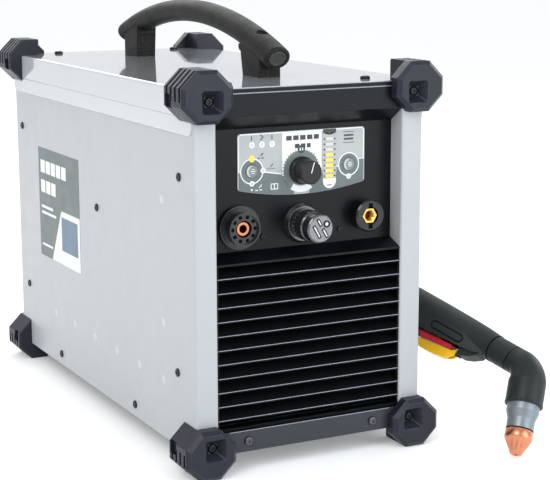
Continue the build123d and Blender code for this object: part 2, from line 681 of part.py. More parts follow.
with BuildPart() as regulator_body:
    x, z = REGULATOR_AT
    with BuildSketch(facing_front(FRONT + 70)):
        with Locations(REGULATOR_AT):
            Rectangle(44, 40)
    extrude(amount=FRONT + 70 - PANEL_BACK)
    with BuildSketch(facing_front(PANEL_BACK)):
        with Locations(REGULATOR_AT):
            Circle(NECK_OF_REGULATOR)
    extrude(amount=PANEL_BACK - FRONT - 5)
    # Filter bowl.
    with BuildSketch(Plane.XY.offset(z - 15)):
        with Locations((x, FRONT + 48)):
            Circle(16)
    extrude(amount=-55)
    with BuildSketch(facing_front(FRONT + 64)):
        with Locations(REGULATOR_AT):
            Circle(STEM_RADIUS + RUNNING_GAP)
    extrude(amount=70, mode=Mode.SUBTRACT)
save(regulator_body.part, "regulator_body")

with BuildPart() as regulator_stem:
    with BuildSketch(facing_front(FRONT + 60)):
        with Locations(REGULATOR_AT):
            Circle(STEM_RADIUS)
    extrude(amount=66)
save(regulator_stem.part, "regulator_stem")

with BuildPart() as regulator_knob:
    cap_front = FRONT - 21
    profile = turned(
        REGULATOR_AT,
        [
            (0, cap_front),
            (12.8, cap_front),
            (14.0, cap_front + 1.2),
            (14.0, cap_front + 12),
            (15.2, cap_front + 13.5),
            (15.2, FRONT + 11.4),
            (13.4, FRONT + 11.4),
            (13.4, FRONT + 1),
            (STEM_RADIUS + RUNNING_GAP, FRONT + 1),
            (STEM_RADIUS + RUNNING_GAP, FRONT - 6 - RUNNING_GAP),
            (0, FRONT - 6 - RUNNING_GAP),
        ],
    )
    revolve(profile, axis=axis_at(REGULATOR_AT))
    with BuildSketch(facing_front(FRONT + 7)):
        with Locations(REGULATOR_AT):
            with PolarLocations(15.7, 24):
                Circle(1.0)
    extrude(amount=15, mode=Mode.SUBTRACT)
save(regulator_knob.part, "regulator_knob")

with BuildPart() as earth_socket_shell:
    profile = turned(
        EARTH_AT,
        [
            (8.9, FRONT + 5),
            (14.6, FRONT + 5),
            (16.0, FRONT + 6.4),
            (16.0, PANEL),
            (11.9, PANEL),
            (11.9, FRONT + 40),
            (8.9, FRONT + 40),
        ],
    )
    revolve(profile, axis=axis_at(EARTH_AT))
    # Two notches key the plug.
    with BuildSketch(facing_front(FRONT + 9)):
        with Locations(EARTH_AT):
            with PolarLocations(10.5, 2, start_angle=90):
                Rectangle(4.5, 5)
    extrude(amount=10, mode=Mode.SUBTRACT)
save(earth_socket_shell.part, "earth_socket_shell")

EARTH_BORE, EARTH_DEPTH = 4.5, 38.0
with BuildPart() as earth_socket_insert:
    with BuildSketch(facing_front(FRONT + 50)):
        with Locations(EARTH_AT):
            RegularPolygon(8.65, 6)
    extrude(amount=43.5)
    with Locations(front_place(EARTH_AT[0], FRONT + 6.5, EARTH_AT[1])):
        Hole(EARTH_BORE, depth=EARTH_DEPTH)
save(earth_socket_insert.part, "earth_socket_insert")

# ---------------------------------------------------------------- inside

DECK = BOTTOM + SHEET
with BuildPart() as heatsink:
    with BuildSketch(Plane.XY.offset(DECK)):
        with Locations((58, 40)):
            Rectangle(90, 240)
    extrude(amount=8)
    with BuildSketch(Plane.XY.offset(DECK + 8)):
        with Locations((58, 40)):
            with GridLocations(9.5, 0, 10, 1):
                Rectangle(2.5, 240)
    extrude(amount=50)
save(heatsink.part, "heatsink")

with BuildPart() as main_transformer:
    with BuildSketch(Plane.XY.offset(DECK)):
        with Locations((-55, -30)):
            Rectangle(90, 40)
    extrude(amount=75)
    with BuildSketch(Plane.XY.offset(DECK + 14)) as winding:
        with Locations((-55, -30)):
            Rectangle(58, 74)
        fillet(winding.vertices(), 14)
    extrude(amount=47)
save(main_transformer.part, "main_transformer")

with BuildPart() as power_board:
    with BuildSketch(Plane.XY.offset(120)):
        with Locations((0, 40)):
            Rectangle(210, 260)
    extrude(amount=2)
    with BuildSketch(Plane.XY.offset(122)):
        with Locations(*[(x, y) for x in (-70, -30) for y in (60, 100, 140)]):
            Circle(17)
    extrude(amount=50)
    with BuildSketch(Plane.XY.offset(122)):
        with Locations((45, 40), (45, 120)):
            Rectangle(60, 50)
    extrude(amount=30)
    # Posts down to the deck.
    with BuildSketch(Plane.XY.offset(DECK)):
        with Locations((-98, -80), (-98, 160), (5, -82), (5, 162)):
            Circle(4)
    extrude(amount=120 - DECK)
save(power_board.part, "power_board")

with BuildPart() as solenoid_valve:
    with BuildSketch(Plane.XY.offset(DECK)):
        with Locations((-60, -150)):
            Rectangle(36, 44)
    extrude(amount=24)
    with BuildSketch(Plane.XY.offset(DECK + 24)):
        with Locations((-60, -150)):
            Circle(13)
    extrude(amount=34)
save(solenoid_valve.part, "solenoid_valve")

# ---------------------------------------------------------------- rear

fan_back = REAR_PANEL - SHEET
fan_front = fan_back - FAN_DEPTH
with BuildPart() as fan_frame:
    with BuildSketch(facing_front(fan_back)) as square:
        with Locations(FAN_AT):
            Rectangle(FAN_SIZE, FAN_SIZE)
        fillet(square.vertices(), 6)
        with Locations(FAN_AT):
            Circle(FAN_BORE, mode=Mode.SUBTRACT)
            with GridLocations(105, 105, 2, 2):
                Circle(2.2, mode=Mode.SUBTRACT)
    extrude(amount=FAN_DEPTH)
    with BuildSketch(facing_front(fan_front + 3)):
        with Locations(FAN_AT):
            Circle(20)
            Rectangle(2 * FAN_BORE + 2, 5, rotation=45)
            Rectangle(2 * FAN_BORE + 2, 5, rotation=-45)
    extrude(amount=3)
    with BuildSketch(facing_front(fan_front + 3)):
        with Locations(FAN_AT):
            Circle(2)
    extrude(amount=-17)
save(fan_frame.part, "fan_frame")

FAN_BLADES = 7
with BuildPart() as fan_rotor:
    hub_front, hub_back = fan_front + 4.5, fan_back - 2.5
    profile = turned(
        FAN_AT,
        [
            (2 + RUNNING_GAP, hub_front),
            (19, hub_front),
            (19, hub_back - 1),
            (18, hub_back),
            (2 + RUNNING_GAP, hub_back),
        ],
    )
    revolve(profile, axis=axis_at(FAN_AT))
    middle_y = (hub_front + hub_back) / 2
    for blade in range(FAN_BLADES):
        angle = radians(360 / FAN_BLADES * blade)
        outward = Vector(cos(angle), 0, sin(angle))
        start = Vector(FAN_AT[0], middle_y, FAN_AT[1]) + outward * 17
        sideways = Vector(0, 1, 0).cross(outward)
        chord = (Vector(0, cos(radians(52)), 0) + sideways * sin(radians(52))).normalized()
        with BuildSketch(Plane(origin=start, x_dir=chord, z_dir=outward)):
            Rectangle(24, 1.8)
        extrude(amount=37.5)
save(fan_rotor.part, "fan_rotor")

with BuildPart() as fan_guard:
    with BuildSketch(facing_front(REAR_PANEL + 2.2)):
        with Locations(FAN_AT):
            for radius in (61, 52, 42, 32, 22, 12):
                Circle(radius)
                Circle(radius - 1.8, mode=Mode.SUBTRACT)
            for turn in (45, 135):
                Rectangle(142, 2.4, rotation=turn)
            with PolarLocations(71, 4, start_angle=45):
                Circle(5)
                Circle(2.2, mode=Mode.SUBTRACT)
    extrude(amount=2.2)
save(fan_guard.part, "fan_guard")

SWITCH_SHAFT = 3.0
with BuildPart() as mains_switch_body:
    with BuildSketch(facing_front(REAR_PANEL + 2)) as plate:
        with Locations(SWITCH_AT):
            Rectangle(48, 48)
        fillet(plate.vertices(), 4)
    extrude(amount=2)
    with BuildSketch(facing_front(REAR_PANEL)):
        with Locations(SWITCH_AT):
            Circle(13.9)
    extrude(amount=SHEET)
    with BuildSketch(facing_front(REAR_PANEL - SHEET)):
        with Locations(SWITCH_AT):
            Rectangle(42, 42)
    extrude(amount=42)
    with BuildSketch(facing_front(REAR_PANEL + 3.5)):
        with Locations(SWITCH_AT):
            Circle(17)
    extrude(amount=1.5)
    with BuildSketch(facing_front(REAR_PANEL + 10)):
        with Locations(SWITCH_AT):
            Circle(SWITCH_SHAFT + RUNNING_GAP)
    extrude(amount=32, mode=Mode.SUBTRACT)
save(mains_switch_body.part, "mains_switch_body")

with BuildPart() as mains_switch_knob:
    with BuildSketch(facing_front(REAR_PANEL + 7.5)):
        with Locations(SWITCH_AT):
            Circle(15)
    extrude(amount=3.5)
    with BuildSketch(facing_front(REAR_PANEL + 15)) as bar:
        with Locations(SWITCH_AT):
            Rectangle(9, 34)
        fillet(bar.vertices(), 3)
    extrude(amount=8)
    with BuildSketch(facing_front(REAR_PANEL + 4)):
        with Locations(SWITCH_AT):
            Circle(SWITCH_SHAFT)
    extrude(amount=24)
save(mains_switch_knob.part, "mains_switch_knob")

GLAND_BORE = 6.0
with BuildPart() as mains_cable_gland:
    profile = turned(
        GLAND_AT,
        [
            (GLAND_BORE, REAR_PANEL - 12),
            (9.9, REAR_PANEL - 12),
            (9.9, REAR_PANEL - 7),
            (13, REAR_PANEL - 7),
            (13, REAR_PANEL - SHEET),
            (9.9, REAR_PANEL - SHEET),
            (9.9, REAR_PANEL),
            (13, REAR_PANEL),
            (13, REAR_PANEL + 4),
            (11.8, REAR_PANEL + 4.6),
            (11.8, REAR_PANEL + 11),
            (8.5, REAR_PANEL + 15),
            (GLAND_BORE, REAR_PANEL + 15),
        ],
    )
    revolve(profile, axis=axis_at(GLAND_AT))
    with BuildSketch(facing_front(REAR_PANEL + 11)):
        with Locations(GLAND_AT):
            with PolarLocations(12.4, 12):
                Circle(1.0)
    extrude(amount=6.4, mode=Mode.SUBTRACT)
save(mains_cable_gland.part, "mains_cable_gland")

INLET_RADIUS = 5.0
with BuildPart() as air_inlet_fitting:
    with BuildSketch(facing_front(REAR_PANEL + 5)):
        with Locations(INLET_AT):
            RegularPolygon(10.5, 6)
    extrude(amount=5)
    with BuildSketch(facing_front(REAR_PANEL + 15)):
        with Locations(INLET_AT):
            Circle(INLET_RADIUS)
    extrude(amount=10)
    with BuildSketch(facing_front(REAR_PANEL)):
        with Locations(INLET_AT):
            Circle(6.4)
    extrude(amount=20)
    with BuildSketch(facing_front(REAR_PANEL + 20)):
        with Locations(INLET_AT):
            Circle(2.6)
    extrude(amount=60, mode=Mode.SUBTRACT)
save(air_inlet_fitting.part, "air_inlet_fitting")

# ---------------------------------------------------------------- torch

TORCH_SIDE_VIEW = Plane(origin=ELBOW, x_dir=TORCH_ALONG, z_dir=TORCH_ACROSS)
HEAD_VIEW = Plane(origin=ELBOW, x_dir=TORCH_HEAD.cross(TORCH_ACROSS), z_dir=TORCH_ACROSS)
HEAD_AXIS = Axis(ELBOW, TORCH_HEAD)
TURN = 180 - TORCH_ALONG.get_angle(TORCH_HEAD)
BEND_START = BEND_RADIUS * tan(radians(TURN / 2))
BEND_CENTRE = ELBOW + TORCH_ALONG * BEND_START - TORCH_UP * BEND_RADIUS


def along_handle(distance, rise=0.0):
    """The plane across the handle at a distance from the elbow, with its own x axis upwards."""
    return Plane(
        origin=ELBOW + TORCH_ALONG * distance + TORCH_UP * rise, x_dir=TORCH_UP, z_dir=TORCH_ALONG
    )


def along_bend(share):
    """The plane across the elbow's bend, from 0 at the handle's side to 1 at the head's."""
    angle = radians(TURN * share)
    spoke = TORCH_UP * cos(angle) - TORCH_ALONG * sin(angle)
    heading = TORCH_ALONG * cos(angle) + TORCH_UP * sin(angle)
    return Plane(origin=BEND_CENTRE + spoke * BEND_RADIUS, x_dir=spoke, z_dir=heading)


def head_half(outline):
    """The half outline, as (radius, distance along the head) corners, of a piece of the head."""
    with BuildSketch(HEAD_VIEW) as half:
        with BuildLine():
            Polyline(*outline, close=True)
        make_face()
    return half.sketch


SEAM_AT, SEAM_LEAN, SEAM_WIDTH, SEAM_DEPTH = 20.5, 17.0, 1.8, 1.0
BEND_STEPS = 6
with BuildPart() as torch_head:
    with BuildSketch(along_bend(0)):
        Circle(NECK_RADIUS)
    extrude(amount=HANDLE_START - 0.3 - BEND_START)
    for step in range(BEND_STEPS + 1):
        share = step / BEND_STEPS
        with BuildSketch(along_bend(share)):
            Circle(NECK_RADIUS + (SLEEVE_RADIUS - NECK_RADIUS) * share)
    loft()
    with BuildSketch(along_bend(1)):
        Circle(SLEEVE_RADIUS)
    extrude(amount=-(SLEEVE_END - BEND_START))
    fillet(torch_head.edges().sort_by(HEAD_AXIS)[-1], 1.2)
    # The sleeve is open below, for the cup.
    revolve(head_half([(0, SLEEVE_END + 5), (0, 19), (16.8, 27), (16.8, SLEEVE_END + 5)]),
            axis=HEAD_AXIS, mode=Mode.SUBTRACT)
    # A leaning groove marks the swivel ring, and a spigot goes into the handle.
    with BuildSketch(along_handle(SEAM_AT).rotated((0, SEAM_LEAN, 0))):
        Circle(NECK_RADIUS + 8)
        Circle(NECK_RADIUS - SEAM_DEPTH, mode=Mode.SUBTRACT)
    extrude(amount=SEAM_WIDTH, mode=Mode.SUBTRACT)
    with BuildSketch(along_handle(HANDLE_START - 0.3)):
        Circle(11)
    extrude(amount=25)
save(torch_head.part, "torch_head")

with BuildPart() as torch_shield_cup:
    outline = [
        (11, 28.5),
        (16.6, 28.5),
        (16.6, 47),
        (14.1, 55),
        (13.9, CUP_END),
        (11, CUP_END),
    ]
    revolve(head_half(outline), axis=HEAD_AXIS)
save(torch_shield_cup.part, "torch_shield_cup")

with BuildPart() as torch_nozzle:
    outline = [
        (2.0, TIP_END),
        (5.6, TIP_END),
        (7.2, TIP_END - 3.2),
        (14.3, CUP_END + 9),
        (14.3, CUP_END + 6.5),
        (13.9, CUP_END),
        (11, CUP_END),
        (11, CUP_END - 8),
        (9.0, CUP_END - 8),
        (9.0, TIP_END - 15),
        (4.2, TIP_END - 5),
        (2.0, TIP_END - 3),
    ]
    revolve(head_half(outline), axis=HEAD_AXIS)
    # Shield gas holes round the tip.
    with BuildSketch(Plane(origin=ELBOW + TORCH_HEAD * (TIP_END + 1), z_dir=TORCH_HEAD)):
        with PolarLocations(7.6, 12):
            Circle(0.65)
    extrude(amount=-6, mode=Mode.SUBTRACT)
save(torch_nozzle.part, "torch_nozzle")


# The skirt's underside as (distance, rise), and its half widths as (distance, half width).
SKIRT_UNDERSIDE = [(49, -4), (54, -12.5), (62, -16), (74, -17.5), (146, -22.5), (161, -17), (176, -5)]
SKIRT_HALF_WIDTHS = [(44, 8.4), (81, 14.9), (140, 15.2), (178, 13.0)]


def handle_form(shrink, start, end):
    """The handle's outer form, or its cavity when shrunk."""
    ovals = [(start, 0.2, 14.5, 14.3), (75, 1.0, 15.5, 14.9), (100, 0.4, 16.6, 15.3)]
    ovals += [(135, 0.3, 17, 15.5)]
    ovals += [(170, 1, 16.3, 15.7), (200, HANDLE_RISE, 15.8, 15.5), (end, HANDLE_RISE, 15.4, 15.1)]
    with BuildPart() as form:
        for distance, rise, half_height, half_width in ovals:
            with BuildSketch(along_handle(distance, rise)):
                Ellipse(half_height - shrink, half_width - shrink)
        loft()
        # A flat-sided skirt hangs below the round body and narrows towards both ends.
        with BuildPart(mode=Mode.PRIVATE) as skirt:
            with BuildSketch(TORCH_SIDE_VIEW) as profile:
                with BuildLine():
                    Polyline(*[(x, z + shrink) for x, z in SKIRT_UNDERSIDE], (176, 3), (49, 3), close=True)
                make_face()
            extrude(amount=25, both=True)
            with BuildSketch(Plane(origin=ELBOW, x_dir=TORCH_ALONG, z_dir=TORCH_UP)):
                with BuildLine():
                    near = [(x, width - shrink) for x, width in SKIRT_HALF_WIDTHS]
                    Polyline(*near, *[(x, -width) for x, width in reversed(near)], close=True)
                make_face()
            extrude(amount=60, both=True, mode=Mode.INTERSECT)
        add(skirt.part)
    return form.part


TRIGGER_HALF, LEVER_HALF, LUG_HALF, LUG_RADIUS = 9.5, 5.0, 2.0, 2.9
OPEN_FROM, OPEN_TO, OPEN_HALF = 79.0, 136.0, 12.0  # the opening in the handle's underside
with BuildPart() as handle_shell:
    add(handle_form(0, HANDLE_START, HANDLE_END))
    add(handle_form(2.6, HANDLE_START + 3, HANDLE_END - 10), mode=Mode.SUBTRACT)
    lead_end = along_handle(HANDLE_END - 12, HANDLE_RISE)
    for plane, radius in ((along_handle(HANDLE_START - 1), 11.1), (lead_end, 8.0)):
        with BuildSketch(plane):
            Circle(radius)
        extrude(amount=20, mode=Mode.SUBTRACT)
    # A narrower nose stands below the front of the handle and a block behind the trigger.
    with BuildSketch(TORCH_SIDE_VIEW):
        with BuildLine():
            Polyline((54.5, -12), (56.5, -16.5), (65, -22), (74, -25.4), (OPEN_FROM, -25.8),
                     (OPEN_FROM, -13), (60, -12.2), close=True)
        make_face()
    extrude(amount=8.5, both=True)
    with BuildSketch(TORCH_SIDE_VIEW):
        with BuildLine():
            Polyline((OPEN_TO, -13), (OPEN_TO, -28.6), (152, -28.6), (165, -16.5), (165, -13), close=True)
        make_face()
    extrude(amount=OPEN_HALF, both=True)
    # The underside is open for the trigger and the lever.
    with BuildSketch(TORCH_SIDE_VIEW):
        with Locations(((OPEN_FROM + OPEN_TO) / 2, -30)):
            Rectangle(OPEN_TO - OPEN_FROM, 44)
    extrude(amount=OPEN_HALF, both=True, mode=Mode.SUBTRACT)
    # An arm with a rounded end carries the lever's pin.
    with BuildSketch(TORCH_SIDE_VIEW):
        with Locations(((OPEN_FROM - 2 + LEVER_PIN[0]) / 2, LEVER_PIN[1])):
            Rectangle(LEVER_PIN[0] - OPEN_FROM + 2, 2 * LUG_RADIUS)
        with Locations(LEVER_PIN):
            Circle(LUG_RADIUS)
    extrude(amount=LUG_HALF, both=True)
    with BuildSketch(TORCH_SIDE_VIEW):
        with Locations(TRIGGER_PIN, LEVER_PIN):
            Circle(PIN_RADIUS + RUNNING_GAP)
    extrude(amount=PIN_REACH + 0.3, both=True, mode=Mode.SUBTRACT)

with BuildPart() as torch_handle_left:
    add(handle_shell.part)
    split(bisect_by=TORCH_SIDE_VIEW, keep=Keep.TOP)
save(torch_handle_left.part, "torch_handle_left")

with BuildPart() as torch_handle_right:
    add(handle_shell.part)
    split(bisect_by=TORCH_SIDE_VIEW, keep=Keep.BOTTOM)
save(torch_handle_right.part, "torch_handle_right")

with BuildPart() as torch_trigger:
    # A wide finger face, chamfered below, and a narrower web that carries the pin.
    with BuildSketch(TORCH_SIDE_VIEW) as side:
        with BuildLine():
            Polyline((88.9, -19.9), (134, -23.1), (130, -29.2), (88.9, -24), close=True)
        make_face()
        fillet(side.vertices(), 0.9)
    extrude(amount=TRIGGER_HALF, both=True)
    with BuildSketch(along_handle(80)):
        with BuildLine():
            Polyline((0, TRIGGER_HALF), (-23.6, TRIGGER_HALF), (-30, TRIGGER_HALF - 3.6),
                     (-30, 3.6 - TRIGGER_HALF), (-23.6, -TRIGGER_HALF), (0, -TRIGGER_HALF), close=True)
        make_face()
    extrude(amount=60, mode=Mode.INTERSECT)
    with BuildSketch(TORCH_SIDE_VIEW):
        with BuildLine():
            Polyline((112, -9.5), (131, -9.5), (131, -25), (112, -23), close=True)
        make_face()
    extrude(amount=5, both=True)
    with BuildSketch(TORCH_SIDE_VIEW):
        with Locations(TRIGGER_PIN):
            Circle(PIN_RADIUS)
    extrude(amount=PIN_REACH, both=True)
save(torch_trigger.part, "torch_trigger")

with BuildPart() as torch_safety_lever:
    with BuildSketch(TORCH_SIDE_VIEW) as side:
        with BuildLine():
            Polyline((148, -36.2), (148, -30.2), (131, -30.2), (107, -27.2), (96, -25.8), (88.4, -24.8),
                     (84.6, -22.8), (82.4, -21.3), (82.1, -24), (83.4, -28.2), (87, -32), (95, -35.8))
            ThreePointArc((95, -35.8), (117, -38.4), (148, -36.2))
        make_face()
        fillet(side.vertices(), 0.4)
    extrude(amount=LEVER_HALF, both=True)
    # A slot at the front lets the arm in between two cheeks.
    with BuildSketch(TORCH_SIDE_VIEW):
        with Locations((LEVER_PIN[0], LEVER_PIN[1])):
            Rectangle(11.4, 40)
    extrude(amount=LUG_HALF + 0.4, both=True, mode=Mode.SUBTRACT)
    with BuildSketch(TORCH_SIDE_VIEW):
        with Locations(LEVER_PIN):
            Circle(PIN_RADIUS)
    extrude(amount=LEVER_HALF, both=True)
save(torch_safety_lever.part, "torch_safety_lever")

CRADLE_MIDDLE = ELBOW + TORCH_ALONG * CRADLE_ALONG + TORCH_UP * HANDLE_RISE
CRADLE_VIEW = Plane(
    origin=CRADLE_MIDDLE,
    x_dir=(-TORCH_ALONG.Y, TORCH_ALONG.X, 0),
    z_dir=TORCH_ALONG,
)
with BuildPart() as torch_cradle:
    reach = CRADLE_RADIUS + CRADLE_WALL
    with BuildSketch(CRADLE_VIEW):
        Circle(reach)
        with Locations((0, reach / 2 - 4)):
            Rectangle(2 * reach, reach - 8)
        with Locations((0, reach + reach - 8)):
            Rectangle(2.2 * reach, 2 * reach, mode=Mode.SUBTRACT)
    extrude(amount=7, both=True)
    with Locations(((SIDE + CRADLE_MIDDLE.X) / 2, CRADLE_MIDDLE.Y + 3, CRADLE_MIDDLE.Z - reach + 0.5)):
        Box(CRADLE_MIDDLE.X - SIDE, 16, 6)
    with BuildSketch(CRADLE_VIEW):
        Circle(CRADLE_RADIUS)
        with Locations((0, reach)):
            Rectangle(2 * CRADLE_RADIUS, 2 * reach, mode=Mode.ADD)
    extrude(amount=30, both=True, mode=Mode.SUBTRACT)
    # Wall plate.
    with BuildSketch(Plane(origin=(SIDE, 0, 0), x_dir=(0, 1, 0), z_dir=(1, 0, 0))) as plate:
        with Locations((CRADLE_MIDDLE.Y + 3, 118)):
            Rectangle(56, 46)
        fillet(plate.vertices(), 4)
    extrude(amount=CRADLE_PLATE)
    with Locations(*[right_place(SIDE + CRADLE_PLATE, y, z) for y, z in CRADLE_SCREWS]):
        Hole(SHANK_HOLE, depth=5)
save(torch_cradle.part, "torch_cradle")
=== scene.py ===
"""Looks for the plasma cutter unit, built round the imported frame. Everything is in the frame's own axes."""

import math

import bmesh
import bpy
from mathutils import Matrix, Vector


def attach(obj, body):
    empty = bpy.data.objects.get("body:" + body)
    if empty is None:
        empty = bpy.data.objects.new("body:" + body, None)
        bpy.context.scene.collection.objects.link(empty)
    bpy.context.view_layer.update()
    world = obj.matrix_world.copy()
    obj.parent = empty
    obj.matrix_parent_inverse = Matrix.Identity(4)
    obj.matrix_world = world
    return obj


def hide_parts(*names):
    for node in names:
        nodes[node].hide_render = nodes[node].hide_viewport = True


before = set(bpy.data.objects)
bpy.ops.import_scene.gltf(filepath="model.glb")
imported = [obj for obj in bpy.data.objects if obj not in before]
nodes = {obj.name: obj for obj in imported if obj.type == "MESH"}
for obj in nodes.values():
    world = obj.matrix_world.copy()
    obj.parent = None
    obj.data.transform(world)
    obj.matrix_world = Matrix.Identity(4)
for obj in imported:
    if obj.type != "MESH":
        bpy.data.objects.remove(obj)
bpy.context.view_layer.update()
MM = 0.001

# ------------------------------------------------------------ main sizes, in mm

SIDE, FRONT, REAR_PANEL = 125.0, -262.5, 261.0
OVERLAY_FRONT = -242.3
KNOB_AT, KNOB_FACE = (-1.0, 290.0), -263.5
MODE_AT, AIR_AT, BUTTON_FACE = (-54.9, 292.4), (52.1, 292.3), -243.6
MODE_RING, AIR_RING, LINE_WIDTH, BUTTON_HOLE, LED_RADIUS = 12.0, 11.3, 1.1, 7.1, 1.6
STATUS_AT = [(x, 317.7) for x in (-54.9, -44.0, -33.0)]
BAR_X, BAR_TOP, BAR_PITCH, BAR_COUNT, BARS_LIT = 30.4, 318.8, 5.24, 8, 5
REGULATOR_AT, REGULATOR_FACE = (-1.7, 238.2), -283.5
ELBOW = Vector((219.8, -323.3, 80.8))
ALONG = Vector((-0.25, 0.935, 0.25)).normalized()
HEAD = Vector((-0.429, -0.366, -0.8325)).normalized()
ACROSS = HEAD.cross(ALONG).normalized()
UP = ACROSS.cross(ALONG)
SLEEVE_END, CUP_END, TIP_END = 40.0, 66.0, 91.5
BUMPER_X, BUMPER_WIDTH, BUMPER_TOP_Z, BUMPER_BOTTOM_Z = 115.0, 53.0, 368.8, 25.0


def srgb(red, green, blue):
    """A linear colour from the usual 0 to 255 numbers."""
    def linear(c):
        c /= 255
        return c / 12.92 if c <= 0.04045 else ((c + 0.055) / 1.055) ** 2.4
    return (linear(red), linear(green), linear(blue), 1.0)


# ------------------------------------------------------------ camera, light, floor

scene = bpy.context.scene
camera = bpy.data.objects.new("camera", bpy.data.cameras.new("camera"))
scene.collection.objects.link(camera)
scene.camera = camera
SENSOR_WIDTH, LENS = 36.0, 101.34
VIEW_FROM = (-0.7071, -1.5606, 0.5115)
VIEW_TURN, VIEW_DROP, VIEW_ROLL = -27.186, 11.012, -0.139
camera.data.sensor_width = SENSOR_WIDTH
camera.data.lens = LENS
camera.data.clip_end = 50.0
camera.matrix_world = (
    Matrix.Translation(VIEW_FROM)
    @ Matrix.Rotation(math.radians(VIEW_TURN), 4, "Z")
    @ Matrix.Rotation(math.radians(90 - VIEW_DROP), 4, "X")
    @ Matrix.Rotation(math.radians(VIEW_ROLL), 4, "Z")
)


CENTRE = (0.0, 0.0, 0.2)


def soft_light(name, place, size, power, colour=(1, 1, 1)):
    """A square lamp aimed at the middle of the case."""
    data = bpy.data.lights.new(name, "AREA")
    data.shape, data.size, data.energy, data.color = "SQUARE", size, power, colour
    lamp = bpy.data.objects.new(name, data)
    scene.collection.objects.link(lamp)
    lamp.location = place
    lamp.rotation_euler = (Vector(CENTRE) - Vector(place)).to_track_quat("-Z", "Y").to_euler()


soft_light("key_light", (-1.9, -1.7, 2.3), 1.6, 36)
soft_light("front_fill", (1.3, -2.4, 1.0), 1.8, 28, (0.86, 0.95, 1.0))
soft_light("back_light", (0.6, 2.2, 1.9), 2.2, 34)
soft_light("side_fill", (2.4, 0.2, 1.2), 1.6, 16)
world = bpy.data.worlds.new("studio")
scene.world = world
world.use_nodes = True
SKY_COLOUR, SKY_STRENGTH = (0.95, 0.97, 1.0, 1), 0.84
background = world.node_tree.nodes["Background"]
background.inputs["Color"].default_value = SKY_COLOUR
background.inputs["Strength"].default_value = SKY_STRENGTH
scene.view_settings.view_transform = "Standard"

# ------------------------------------------------------------ materials


class Graph:
    """A material's node tree, with short calls to add and join nodes."""

    def __init__(self, name):
        self.material = bpy.data.materials.new(name)
        self.material.use_nodes = True
        self.tree = self.material.node_tree
        self.tree.nodes.clear()
        self.shader = self.node("ShaderNodeBsdfPrincipled")
        output = self.node("ShaderNodeOutputMaterial")
        self.join(self.shader.outputs["BSDF"], output.inputs["Surface"])
        self.place = self.node("ShaderNodeTexCoord").outputs["Object"]

    def node(self, kind, **settings):
        made = self.tree.nodes.new(kind)
        for key, value in settings.items():
            setattr(made, key, value)
        return made

    def join(self, source, target):
        self.tree.links.new(source, target)

    def noise(self, scale, detail=2.0, stretch=None):
        made = self.node("ShaderNodeTexNoise")
        made.inputs["Scale"].default_value = scale
        made.inputs["Detail"].default_value = detail
        source = self.place
        if stretch:
            mapping = self.node("ShaderNodeMapping")
            mapping.inputs["Scale"].default_value = stretch
            self.join(self.place, mapping.inputs["Vector"])
            source = mapping.outputs["Vector"]
        self.join(source, made.inputs["Vector"])
        return made.outputs["Fac"]

    def ramp(self, value, low, high, to_low=0.0, to_high=1.0):
        made = self.node("ShaderNodeMapRange")
        for key, number in (("From Min", low), ("From Max", high), ("To Min", to_low), ("To Max", to_high)):
            made.inputs[key].default_value = number
        self.join(value, made.inputs["Value"])
        return made.outputs["Result"]

    def times(self, first, second):
        made = self.node("ShaderNodeMath", operation="MULTIPLY")
        for index, value in enumerate((first, second)):
            if isinstance(value, float):
                made.inputs[index].default_value = value
            else:
                self.join(value, made.inputs[index])
        return made.outputs[0]

    def mix(self, share, first, second):
        made = self.node("ShaderNodeMix", data_type="RGBA")
        self.join(share, made.inputs["Factor"])
        for key, value in ((6, first), (7, second)):
            if isinstance(value, tuple):
                made.inputs[key].default_value = value
            else:
                self.join(value, made.inputs[key])
        return made.outputs[2]


# Noise scales are per metre. Wear shows where the bevelled normal leaves the flat one.
CLOUD_SCALE, PATCH_SCALE, RING_SCALE = 11.0, 55.0, 2600.0
SPECK_FROM, SPECK_SOFTNESS = 0.62, 0.06
EDGE_FROM, EDGE_TO = 0.985, 0.90
WORN_LIGHTER = 1.9
COMMON_IOR = 1.5


def shade(colour, factor):
    return tuple(min(1.0, c * factor) for c in colour[:3]) + (1.0,)


